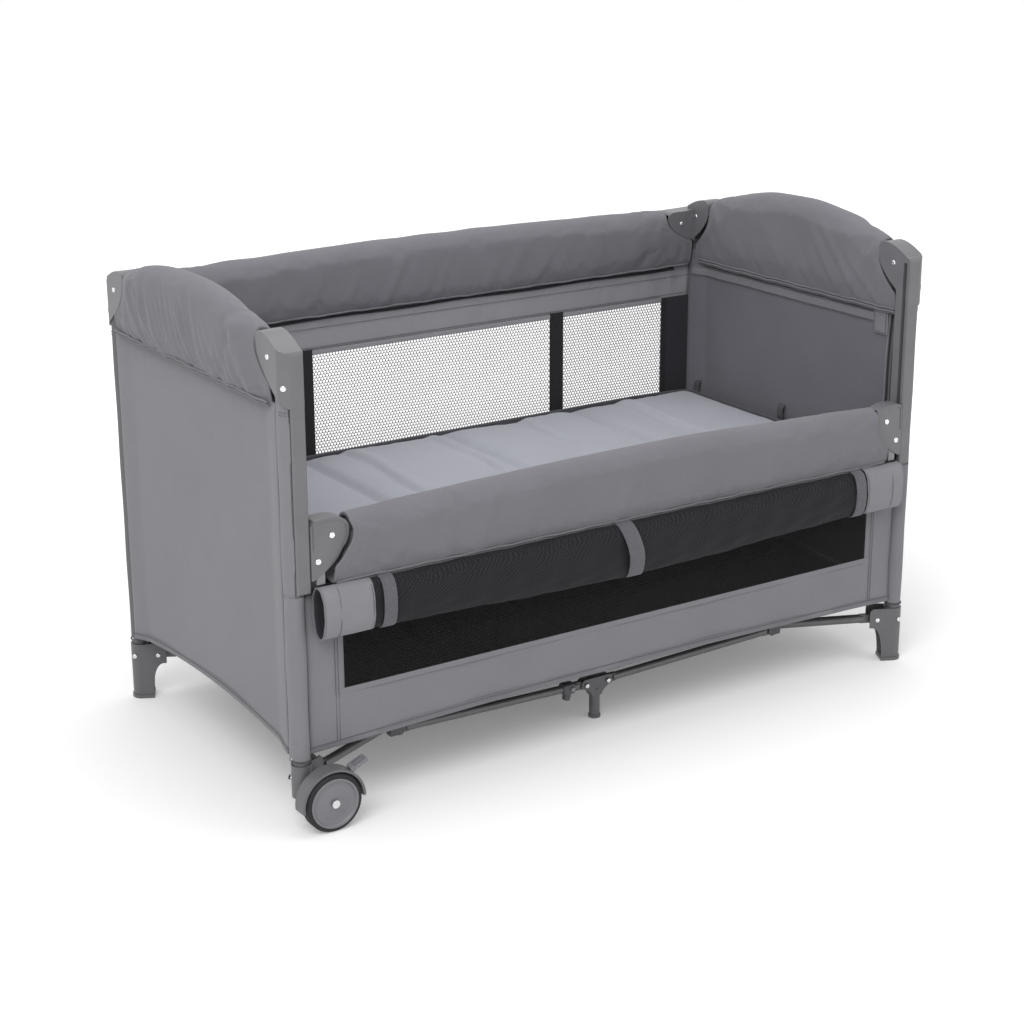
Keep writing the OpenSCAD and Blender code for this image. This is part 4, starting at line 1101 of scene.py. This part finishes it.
def add_end_panels():
    """Both end walls with their inner linings, hems and trim."""
    for side, body in ((-1, "corner_fl"), (1, "corner_br")):
        label = "left" if side < 0 else "right"

        def point(y, v):
            low = end_hem(y)
            z = low + (PANEL_TOP_END - low) * v
            near = (WALL_Y - abs(y)) / WALL_Y
            wave = 0.0011 * math.sin(y * 23 + z * 5 + side) * math.sin(z * 9 + 1)
            drawn = 0.0004 * math.sin(y * 130 + 2 * math.sin(y * 31)) * math.exp(-(END_LOW - z) / 0.02)
            x = panel_x(y) + wave * min(1, near * 6) + drawn * min(1, near * 12)
            return (side * x, y, z)

        def inner(t, z):
            x, y, z = lining_at(t, z)
            return (side * x, y, z)

        sheet = fabric_grid("wall_end_" + label, steps(-WALL_Y, WALL_Y, 0.005), steps(0, 1, 0.012), point)
        lining = fabric_grid("lining_end_" + label, steps(0, 1, 0.010),
                             steps(LINING_LOW, PANEL_TOP_END, 0.010), inner, thickness=0.0012)
        width = np.linspace(-WALL_Y, WALL_Y, 80)
        hem = [(side * (panel_x(y) + 0.0009), y, end_hem(y) + 0.005) for y in width]
        band = ribbon("hem_end_" + label, hem, (0, 0, 1), 0.011, 0.0030)
        edge = [inner(0.0, z) for z in np.linspace(LINING_LOW, END_LOW + 0.002, 60)]
        trim = tube("lining_edge_" + label, edge, 0.0021, up=(0, 1, 0))
        row = [(side * (panel_x(y) + 0.0026), y, end_hem(y) + 0.0085) for y in width]
        thread = stitches("stitches_end_" + label, [row], (side, 0, 0))
        # The lining takes the darker copy of the cloth, painted shade of the inside
        for piece, key in ((sheet, "cloth"), (lining, "lining"), (band, "piping"), (trim, "cloth"),
                           (thread, "thread")):
            place(piece, key, body)
            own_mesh(piece)
        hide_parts("end_panel_" + label)


def net_unit(thread):
    """Three threads that meet at a knot, for a net of pitch 1: its copies make a honeycomb."""
    verts, faces = [], []
    for arm in range(3):
        a = math.radians(90 + 120 * arm)
        ahead, across = Vector((math.cos(a), 0, math.sin(a))), Vector((-math.sin(a), 0, math.cos(a)))
        first = len(verts)
        for far in (-0.1, 1.1):
            spot = ahead * (far / math.sqrt(3))
            verts += [spot + across * (thread / 2) + Vector((0, -thread / 3, 0)),
                      spot - across * (thread / 2) + Vector((0, -thread / 3, 0)),
                      spot + Vector((0, thread * 2 / 3, 0))]
        faces += [(first, first + 1, first + 4, first + 3), (first + 1, first + 2, first + 5, first + 4),
                  (first + 2, first, first + 3, first + 5)]
    return add_object("net_unit", verts, faces, smooth=False)


def add_net(name, y, across, heights, body, mesh, key):
    """Knotted net over a window in a wall along X, with a slight sag of its own."""
    (x0, x1), (z0, z1), (pitch, thread) = across, heights, mesh
    points = []
    rise = pitch * math.sqrt(3) / 2
    for i, z in enumerate(np.arange(z0, z1, rise)):
        for x in np.arange(x0 + (i % 2) * pitch / 2, x1, pitch):
            right, up = (x - x0) / (x1 - x0), (z - z0) / (z1 - z0)
            belly = 0.0025 * math.sin(math.pi * right) * math.sin(math.pi * up)
            points.append((x, y + belly, z))
    return place(instances(name, points, net_unit(thread / pitch), key, pitch), key, body)


def level_line(half, y, z):
    """A straight line along X at one height."""
    return [(x, y, z) for x in np.linspace(-half, half, 60)]


def add_back_wall():
    """The back wall with its three net windows, tapes, side strips and hem."""
    y, outer, half = POST_Y + WALL_SKIN, BACK_NET_HALF, WALL_HALF
    top = BACK_LOW + 0.003
    z0, z1 = BACK_NET
    left, right = BACK_TAPES

    def point(x, z):
        gather = 0.0010 * max(0.0, 1 - abs(z - 0.60) / 0.03) * math.sin(x * 210 + 4 * math.sin(x * 37))
        pull = 0.0016 * math.exp(-max(0.0, 0.50 - x) / 0.06) * math.sin(120 * (x + 0.6 * z))
        wave = 0.0012 * math.sin(x * 11 + z * 7) * (1 if z < z0 else 0.3)
        upper = min(1.0, max(0.0, (z - z1) / 0.01)) * min(1.0, max(0.0, (top - z) / 0.02))
        return (x, y + gather + wave - pull * upper, max(z, side_hem(x)))

    sheet = fabric_grid("wall_back", steps(-half, half, 0.008, [-outer, outer, *left, *right]),
                        steps(HEM_Z, top, 0.010, (z0, z1)), point, holes=[(-outer, outer, z0, z1)])
    hem = [(x, y - 0.0005, side_hem(x) + 0.006) for x in np.linspace(-half, half, 100)]
    # The back wall and its net tapes take the lighter copy of the cloth: painted light through the thin
    # cloth
    pieces = [(sheet, "painted_backlight_sheer"), (ribbon("hem_back", hem, (0, 0, 1), 0.013, 0.0032), "piping")]
    for label, (a, b) in zip("lr", BACK_TAPES):
        line = [((a + b) / 2, y - 0.0012, z) for z in np.linspace(z0 - 0.006, z1 + 0.004, 30)]
        pieces.append((ribbon("tape_inner_" + label, line, (1, 0, 0), b - a, 0.0022), "tape"))
    upright = np.linspace(z0 - 0.006, z1 + 0.002, 30)
    for label, s in (("l", -1), ("r", 1)):
        line = [(s * (outer + half) / 2, y - 0.0014, z) for z in upright]
        pieces.append((ribbon("side_strip_" + label, line, (1, 0, 0), half - outer, 0.0016), "shade"))
        line = [(s * (outer + 0.005), y - 0.0026, z) for z in upright]
        pieces.append((ribbon("tape_outer_" + label, line, (1, 0, 0), 0.011, 0.0018), "tape"))
    for label, z in (("low", z0 + 0.002), ("high", z1 - 0.002)):
        line = level_line(outer, y - 0.0013, z)
        # Painted light through the thin cloth, as on the back wall
        pieces.append((ribbon("net_tape_back_" + label, line, (0, 0, 1), 0.008, 0.0018), "painted_backlight_sheer"))
    rows = [level_line(half, y - 0.0028, z) for z in BACK_SEAMS]
    pieces.append((stitches("stitches_back", rows, (0, -1, 0)), "thread"))
    for piece, key in pieces:
        place(piece, key, "corner_bl")
    spans = (("left", -outer, left[0]), ("middle", left[1], right[0]), ("right", right[1], outer))
    # The back nets take the pale thread, partly painted light
    nets = [add_net("net_back_" + label, y, (a, b), BACK_NET, "corner_bl", BACK_MESH, "net")
            for label, a, b in spans]
    for piece in [p for p, _ in pieces] + nets:
        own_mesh(piece)
    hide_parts("back_panel")
    [p for p, _ in pieces[1:]] + nets


def add_front_wall():
    """The lower front wall with its two net windows, tapes, seams and hem."""
    y, outer, half = -POST_Y - WALL_SKIN, FRONT_NET_HALF, WALL_HALF
    top = PANEL_TOP_FRONT
    z0, z1 = FRONT_NET

    def point(x, z):
        wave = 0.0012 * math.sin(x * 13 + z * 9 + 1) + 0.0007 * math.sin(x * 41 + z * 23)
        return (x, y - wave * (1 if z < z0 else 0.3), max(z, side_hem(x)))

    sheet = fabric_grid("wall_front", steps(-half, half, 0.008, (-outer, outer, 0.0)),
                        steps(HEM_Z, top, 0.008, (z0, z1)), point, holes=[(-outer, outer, z0, z1)])
    hem = [(x, y - 0.0006, side_hem(x) + 0.006) for x in np.linspace(-half, half, 120)]
    pieces = [(sheet, "cloth"), (ribbon("hem_front", hem, (0, 0, 1), 0.012, 0.0034), "piping")]
    for label, z in (("low", z0 + 0.001), ("high", z1 - 0.001)):
        line = level_line(outer + 0.01, y - 0.0010, z)
        pieces.append((ribbon("net_tape_front_" + label, line, (0, 0, 1), 0.009, 0.0022), "cloth"))
    rows = [[(s * x, y - 0.0022, z) for z in np.linspace(side_hem(x) + 0.01, top, 30)]
            for s in (-1, 1) for x in FRONT_SEAMS]
    rows += [[(x, y - 0.0034, side_hem(x) + 0.010) for x in np.linspace(-half, half, 60)]]
    pieces.append((stitches("stitches_front", rows, (0, -1, 0)), "thread"))
    for piece, key in pieces:
        place(piece, key, "corner_fl")
    nets = [add_net("net_front_" + label, y, (a, b), FRONT_NET, "corner_fl", FRONT_MESH, "dark_net")
            for label, a, b in (("left", -outer, 0.0), ("right", 0.0, outer))]
    for piece in [p for p, _ in pieces] + nets:
        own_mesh(piece)
    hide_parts("front_panel")
    [p for p, _ in pieces[1:]] + nets


# Rolled net of the lowered side: its place and depth, its underside, and half lengths
ROLL_Y, ROLL_T = -0.3215, 0.0185
ROLL_LOW, ROLL_SAG = 0.303, 0.0145
ROLL_HALF, CUFF_OUT, CUFF_IN = 0.552, 0.577, 0.492
CUFF_SIDES, CUFF_WRINKLE = 40, 0.0008
END_STRAPS, MIDDLE_STRAP = (-0.466, 0.476), -0.006


def roll_section(x, swell, count, wrinkle=0.0):
    """Outline of the rolled net at x: an upright oval that sags a little between the straps."""
    high = FRONT_LOW - 0.0005
    low = ROLL_LOW - ROLL_SAG * math.cos(math.pi / 2 * x / 0.56) ** 2
    mid, tall = (high + low) / 2, (high - low) / 2
    ring = []
    for a in np.linspace(0, 2 * math.pi, count, endpoint=False):
        c, s = math.cos(a), math.sin(a)
        waves = math.sin(9 * a + x * 60) * 0.5 + math.sin(3 * a - x * 31) + 0.6 * math.sin(2 * a + x * 97)
        twist = wrinkle * waves
        y = math.copysign(abs(c) ** 0.85, c) * (ROLL_T + swell + twist)
        z = math.copysign(abs(s) ** 0.9, s) * (tall + min(swell, 0.0) + twist * 0.5)
        ring.append((x, ROLL_Y + y, mid + z))
    return ring


def wound_cloth(name, distances, swell, thickness):
    """Cloth round both ends of the roll, over the given distances from its middle."""
    parts = []
    for s in (-1, 1):
        rings = [roll_section(s * x, swell, CUFF_SIDES, CUFF_WRINKLE) for x in distances]
        faces = grid_faces(len(rings), CUFF_SIDES, wrap=True)
        part = add_object("wound", np.array(rings).reshape(-1, 3).tolist(), faces)
        parts.append(thicken(part, thickness))
    return joined(name, parts)


def roll_strap(x, wide, hang):
    """A strap round the outer side of the roll; one that hangs is slack at its top and open below."""
    line = [p for p in roll_section(x, 0.0022, 48)
            if p[1] < ROLL_Y + 0.004 and not (hang and p[2] < 0.30 and p[1] > ROLL_Y - 0.008)]
    line.sort(key=lambda p: -p[2])
    line = resample([(x, ROLL_Y + 0.004, FRONT_LOW + 0.003)] + line, 40)
    down = np.clip((FRONT_LOW - line[:, 2]) / 0.09, 0, 1)
    line[:, 0] -= hang * 0.018 * (1 - down) ** 1.5
    line[:, 1] -= hang * 0.0045 * np.sin(math.pi * down) ** 2
    return ribbon("strap", line, (1, 0, 0), wide, 0.0018)


def add_roll():
    """The rolled-up net under the front rail with its cuffs and straps."""
    rings = [roll_section(x, -0.0015, 60, 0.0011) for x in np.linspace(-ROLL_HALF, ROLL_HALF, 230)]
    roll = place(shell("rolled_net", rings), "rolled", "slider_left")
    cuff = wound_cloth("roll_cuffs", np.linspace(CUFF_IN, CUFF_OUT, 18), 0.0006, 0.0012)
    place(cuff, "cuff", "slider_left")
    # A black sheet inside the mouth of each cuff: painted shade of the hollow
    inside = wound_cloth("roll_cuffs_inside", np.linspace(CUFF_OUT - 0.0015, ROLL_HALF - 0.002, 6),
                         -0.0008, 0.0008)
    place(inside, "shade", "slider_left")
    rims = [tube("rim", roll_section(s * CUFF_OUT, 0.0004, 60, CUFF_WRINKLE), 0.0015, closed=True,
                 up=(1, 0, 0)) for s in (-1, 1)]
    rim = place(joined("roll_cuffs_rim", rims), "piping", "slider_left")
    ends = [roll_strap(x, 0.022, 0.0) for x in END_STRAPS]
    strap = place(joined("roll_straps_ends", ends), "strap", "slider_left")
    hook = place(roll_strap(MIDDLE_STRAP, 0.029, 1.0), "strap", "slider_left")
    hook.name = "roll_strap_middle"
    rows = []
    for s in (-1, 1):
        for x in (CUFF_IN + 0.003, 0.550):
            ring = [p for p in roll_section(s * x, 0.0014, 60) if p[1] < ROLL_Y]
            ring.sort(key=lambda p: -p[2])
            rows.append(ring)
    thread = stitches("stitches_roll", rows, (0, -1, 0), body="slider_left")
    for piece in (roll, cuff, inside, rim, strap, hook, thread):
        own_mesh(piece)
    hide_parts("net_roll")
    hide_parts("roll_straps")


# Floors
FLOOR_CELL, FLOOR_TUCK = 0.012, 0.02


def gather_on_diagonal(piece):
    """Gives a piece of the lower floor a mesh of its own."""
    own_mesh(piece)


def add_floors():
    """The raised floor under the mattress, and the lower one in four quarters with its seams."""
    half_x, half_y = POST_X - 0.006, POST_Y - 0.004
    reach_x, reach_y = END_SHEET_X - 0.004, half_y - 0.006

    def raised(x, y):
        wave = 0.0010 * math.sin(x * 19 + y * 5) * math.cos(y * 13)
        return (x, y, RAISED_Z - 0.0022 + wave * 0.6)

    sheet = fabric_grid("floor_raised", steps(-half_x, half_x, FLOOR_CELL),
                        steps(-half_y + FLOOR_TUCK, half_y - FLOOR_TUCK, FLOOR_CELL), raised)
    place(sheet, "floor", "hub")
    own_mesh(sheet)
    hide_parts("raised_floor")
    first = None
    for name, (sx, sy) in CORNERS.items():

        def lower(u, v):
            x, y = sx * u, sy * v
            slow = 0.0030 * math.sin(x * 15 + y * 9) * math.sin(y * 21 + 1)
            wave = slow + 0.0015 * math.sin(x * 43 - y * 17)
            edge = min(1.0, (reach_x - u) / 0.05, (half_y - v) / 0.05)
            climb = max(0.0, 1 - (reach_x - u) / 0.06) ** 2 * (end_hem(y) + 0.004 - LOWER_Z)
            return (x, y, LOWER_Z + 0.001 + 0.7 * wave * max(0.0, edge) + climb)

        quarter = fabric_grid("floor_lower_" + name, steps(0, reach_x, FLOOR_CELL),
                              steps(0, reach_y, FLOOR_CELL), lower)
        place(quarter, "floor", "diagonal_" + name)
        gather_on_diagonal(quarter)
        first = first or quarter
    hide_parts("lower_floor")
    for letter, sx in (("l", -1), ("r", 1)):
        seam = []
        for x in np.linspace(0.004, reach_x - 0.03, 70):
            y = 0.262 + 0.014 * math.sin(sx * x * 17 + 0.6) + 0.006 * math.sin(sx * x * 39)
            seam.append((sx * x, y, LOWER_Z + 0.0065))
        strap = [(sx * 0.215 + 0.02 * math.sin(9 * y), y, LOWER_Z + 0.0060)
                 for y in np.linspace(-0.05, 0.272, 40)]
        bands = [ribbon("band", seam, (0, 1, 0), 0.014, 0.0024),
                 ribbon("band", strap, (1, 0, 0), 0.016, 0.0020)]
        lines = place(joined("floor_seams_back_" + letter, bands), "tape", "diagonal_b" + letter)
        gather_on_diagonal(lines)


# Fastenings and small trim
TOOTH, TOOTH_PITCH = 0.0032, 0.0021


def tooth_unit(across, along):
    """A zip tooth of length 1 across the zip's line, flat."""
    across, along = Vector(across) / 2, Vector(along) * 0.16
    corners = [-across - along, across - along, across + along, along - across]
    return thicken(add_object("tooth", corners, [(0, 1, 2, 3)], smooth=False), 0.36)


def band_of_teeth(name, line, face, body):
    """A zip along a line beside a panel's edge: two tapes and a row of teeth between them."""
    line = resample(line, 60)
    tape = place(ribbon(name + "_tape", line, (0, 1, 0), 0.017, 0.0014), "tape", body)
    row = resample(line, int((line[-1][2] - line[0][2]) / TOOTH_PITCH))
    spots = [(x + face * 0.0012, y + 0.0011 * (-1) ** i, z) for i, (x, y, z) in enumerate(row)]
    teeth = instances(name + "_teeth", spots, tooth_unit((0, 1, 0), (0, 0, 1)), "button", TOOTH)
    return [tape, place(teeth, "button", body)]


HOOK_Z = END_LOW - 0.038
TAB_LOW, TAB_HIGH = 0.598, 0.635
TAB_FRONT, TAB_BACK = -0.2495, -0.2205
BED_LOOPS = ((0.272, 0.402), (0.022, 0.408))


def add_inner_trim():
    """Inside each end: a hook band under the cover with its tab, a zip beside the lining and two loops."""
    edge = [lining_at(0.0, z) for z in np.linspace(0.400, 0.655, 50)]
    for side, label, body in ((-1, "left", "corner_fl"), (1, "right", "corner_br")):
        band_line = []
        for t in np.linspace(0.02, 0.985, 90):
            x, y, _ = lining_at(t, HOOK_Z)
            band_line.append((side * (x - 0.0022), y, HOOK_Z + 0.0004 * math.sin(y * 50)))
        pieces = [(ribbon("hook_band_" + label, band_line, (0, 0, 1), 0.019, 0.0020), "hook")]
        x = LINING_X - 0.0044
        tab = [(side * (x - 0.0010 * math.sin(40 * z)), -0.235, z) for z in np.linspace(0.640, 0.594, 12)]
        pieces.append((ribbon("hook_tab_" + label, tab, (0, 1, 0), 0.036, 0.0022), "hook"))
        rows = [[(a - side * 0.0016, b, c + d) for a, b, c in band_line] for d in (-0.0078, 0.0078)]
        corners = ((TAB_FRONT, TAB_HIGH), (TAB_FRONT, TAB_LOW), (TAB_BACK, TAB_LOW), (TAB_BACK, TAB_HIGH))
        rows.append([(side * (x - 0.0024), y, z) for y, z in corners])
        pieces.append((stitches("stitches_band_" + label, rows, (-side, 0, 0)), "thread"))
        for i, (y, z) in enumerate(BED_LOOPS):
            x = lining_at((y - LINING_FRONT) / (POST_Y - LINING_FRONT), z)[0] - 0.001
            loop = [(side * x, y, z), (side * (x - 0.006), y, z - 0.008),
                    (side * (x - 0.008), y - 0.002, z - 0.022), (side * (x - 0.004), y - 0.003, z - 0.034)]
            band = ribbon("bed_loop_%s_%d" % (label, i), resample(loop, 14), (0, 1, 0), 0.016, 0.0018)
            pieces.append((band, "binding"))
        for piece, key in pieces:
            place(piece, key, body)
        line = [(side * (x + 0.001), y - 0.011, z) for x, y, z in edge]
        zips = band_of_teeth("zip_" + label, line, -side, body)
        for piece in [p for p, _ in pieces] + zips:
            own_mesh(piece)


def add_back_trim():
    """Dark zip along the seam under the back cover, with its teeth."""
    y, reach = POST_Y - 0.0015, 0.55

    def seam(x):
        return BACK_LOW - 0.004 + 0.0010 * math.sin(x * 23)

    line = [(x, y, seam(x)) for x in np.linspace(-reach - 0.002, reach + 0.002, 120)]
    tape = place(ribbon("zip_back_tape", line, (0, 0, 1), 0.006, 0.0020), "binding", "corner_bl")
    spots = [(x, y - 0.0020, seam(x)) for x in np.arange(-reach, reach, TOOTH_PITCH)]
    teeth = instances("zip_back_teeth", spots, tooth_unit((0, 0, 1), (1, 0, 0)), "zip", TOOTH)
    place(teeth, "zip", "corner_bl")
    for piece in (tape, teeth):
        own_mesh(piece)


SLIDER_RIVETS = ((0.056, 0.460), (0.032, 0.423))


def add_rivets():
    """Rivet heads at the pins of the corner mouldings, the sliders and the middle feet."""
    face, inner = 0.0169, 0.0200
    end_inset = abs(pivot("end_rail_fold_lf").y + POST_Y)
    rail_inset = abs(pivot("back_rail_fold_l").x + POST_X)
    for name, (sx, sy) in CORNERS.items():
        y = sy * (POST_Y - end_inset)
        heads = [((sx * (POST_X + face), y, END_RAIL_Z), (sx, 0, 0)),
                 ((sx * (POST_X - inner), y, END_RAIL_Z), (-sx, 0, 0)),
                 ((sx * (POST_X + 0.0120), sy * (POST_Y + 0.0120), END_RAIL_Z - 0.040), (sx, sy, 0))]
        if sy > 0:
            x = sx * (POST_X - rail_inset)
            heads += [((x, POST_Y + face, BACK_RAIL_Z), (0, 1, 0)),
                      ((x, POST_Y - inner, BACK_RAIL_Z), (0, -1, 0))]
        rivets("rivets_cap_" + name, heads, "corner_" + name)
    for letter, label, sx in (("l", "left", -1), ("r", "right", 1)):
        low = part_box("slider_" + letter)[0]
        heads = [((sx * (POST_X - inset), low.y + 0.0012, z), (0, -1, 0)) for inset, z in SLIDER_RIVETS]
        rivets("rivets_slider_" + letter, heads, "slider_" + label, radius=0.0050)
    low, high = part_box("centre_foot_front")
    half = (high.x - low.x) / 2 - 0.009
    for label, sy in (("front", -1), ("back", 1)):
        node_low, node_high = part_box("centre_foot_" + label)
        y = node_low.y if sy < 0 else node_high.y
        heads = [((s * half, y, node_high.z - 0.010), (0, sy, 0)) for s in (-1, 1)]
        rivets("rivets_centre_" + label, heads, "centre_foot_" + label, radius=0.0042)


def add_foot_rivets():
    """Two rivet heads on each cheek of the corner mouldings' arms, and studs at the sleeves' hems."""
    reach, cheek, up = (0.031, -0.009), 0.0157, Vector((0, 0, 1))
    for name, (sx, sy) in CORNERS.items():
        post = Vector((sx * POST_X, sy * POST_Y, 0))
        arm = -post.normalized()
        heads = []
        for face in (Vector((arm.y, -arm.x, 0)), Vector((-arm.y, arm.x, 0))):
            heads += [(post + arm * d + face * cheek + up * FOOT_PIVOT_Z, face) for d in reach]
        rivets("rivets_foot_" + name, heads, "corner_" + name, radius=0.0042)
        ways = [Vector((sx * c, sy * s, 0)) for c, s in ((0.94, -0.34), (0.34, -0.94))]
        studs = [(post + way * SLEEVE_R + up * (FOOT_PIVOT_Z + 0.030), way) for way in ways]
        rivets("studs_" + name, studs, "corner_" + name, radius=0.0034)


def rounded_bar(name, start, end, half, power=4.0):
    """A bar from start to end with a rounded square section and softened ends."""
    start, end = Vector(start), Vector(end)
    ahead = (end - start).normalized()
    side = ahead.cross(Vector((0, 0, 1))).normalized()
    rise = side.cross(ahead)
    rings = []
    for along, scale in ((0.0, 0.80), (0.06, 0.95), (0.16, 1.0), (0.84, 1.0), (0.94, 0.95), (1.0, 0.80)):
        ring = []
        for a in np.linspace(0, 2 * math.pi, 28, endpoint=False):
            c, t = math.cos(a), math.sin(a)
            u, v = (math.copysign(abs(k) ** (2 / power), k) * half * scale for k in (c, t))
            ring.append(start + (end - start) * along + side * u + rise * v)
        rings.append(ring)
    return shell(name, rings)


def add_guide_slot_painted_shade():
    """Black strips at the bottom of the slots that the sliders run in: painted shade of the slots' depth.
    """
    slot_depth = 0.01325
    for name, sx in (("fl", -1), ("fr", 1)):
        line = [(sx * (POST_X - slot_depth), -POST_Y - RAIL_OUT, z)
                for z in np.linspace(SIDE_RAIL_Z - 0.078, END_RAIL_Z + 0.002, 12)]
        place(ribbon("guide_strip_" + name, line, (0, 1, 0), 0.0074, 0.0004), "zip", "corner_" + name)


def add_tube_clip():
    """The clip that holds the left side tube's end by the middle foot, with its pale plug."""
    clip_x = -0.056
    start, end = pivot("side_tube_fold_fl"), pivot("centre_foot_fold_front")
    ahead = (end - start).normalized()
    at = start + ahead * ((clip_x - start.x) / ahead.x)
    clip = rounded_bar("tube_clip", at - ahead * 0.013, at + ahead * 0.011, 0.0098)
    tongue = rounded_bar("tube_clip_tongue", at + Vector((0, 0, -0.006)), at + Vector((-0.004, 0, -0.021)),
                         0.0060)
    place(joined("tube_clip", [clip, tongue]), "dark", "side_tube_fl")
    front = at + ahead * 0.004 + Vector((0, -0.0085, 0.0))
    plug = rounded_bar("tube_clip_plug", front, front + Vector((0, -0.0040, 0)), 0.0042, 2.0)
    place(plug, "button", "side_tube_fl")


# Finishes of the frame's own pieces
FINISHES = {"post": "tube", "diagonal": "tube", "side_tube": "tube", "end_rail": "tube",
            "back_rail": "tube", "front_rail": "tube", "hub": "dark", "knuckle": "dark",
            "centre_foot": "foot", "foot": "foot", "wheel_housing": "foot", "cap": "cap",
            "slider_button": "button", "slider": "cap", "wheel": "wheel", "tyre": "rubber",
            "axle": "steel", "brake": "wheel"}


def finish_frame_pieces():
    """Gives the frame's own pieces their materials, by the longest name that fits."""
    for name, obj in frame["nodes"].items():
        fits = [key for key in FINISHES if name.startswith(key)]
        if not fits:
            continue
        material = LOOKS[FINISHES[max(fits, key=len)]]
        for slot in obj.material_slots:
            slot.link = "OBJECT"
            slot.material = material


add_covers()
add_mattress()
add_sleeves()
add_end_panels()
add_back_wall()
add_front_wall()
add_roll()
add_floors()
add_inner_trim()
add_back_trim()
add_rivets()
add_foot_rivets()
add_tube_clip()
add_guide_slot_painted_shade()
finish_frame_pieces()
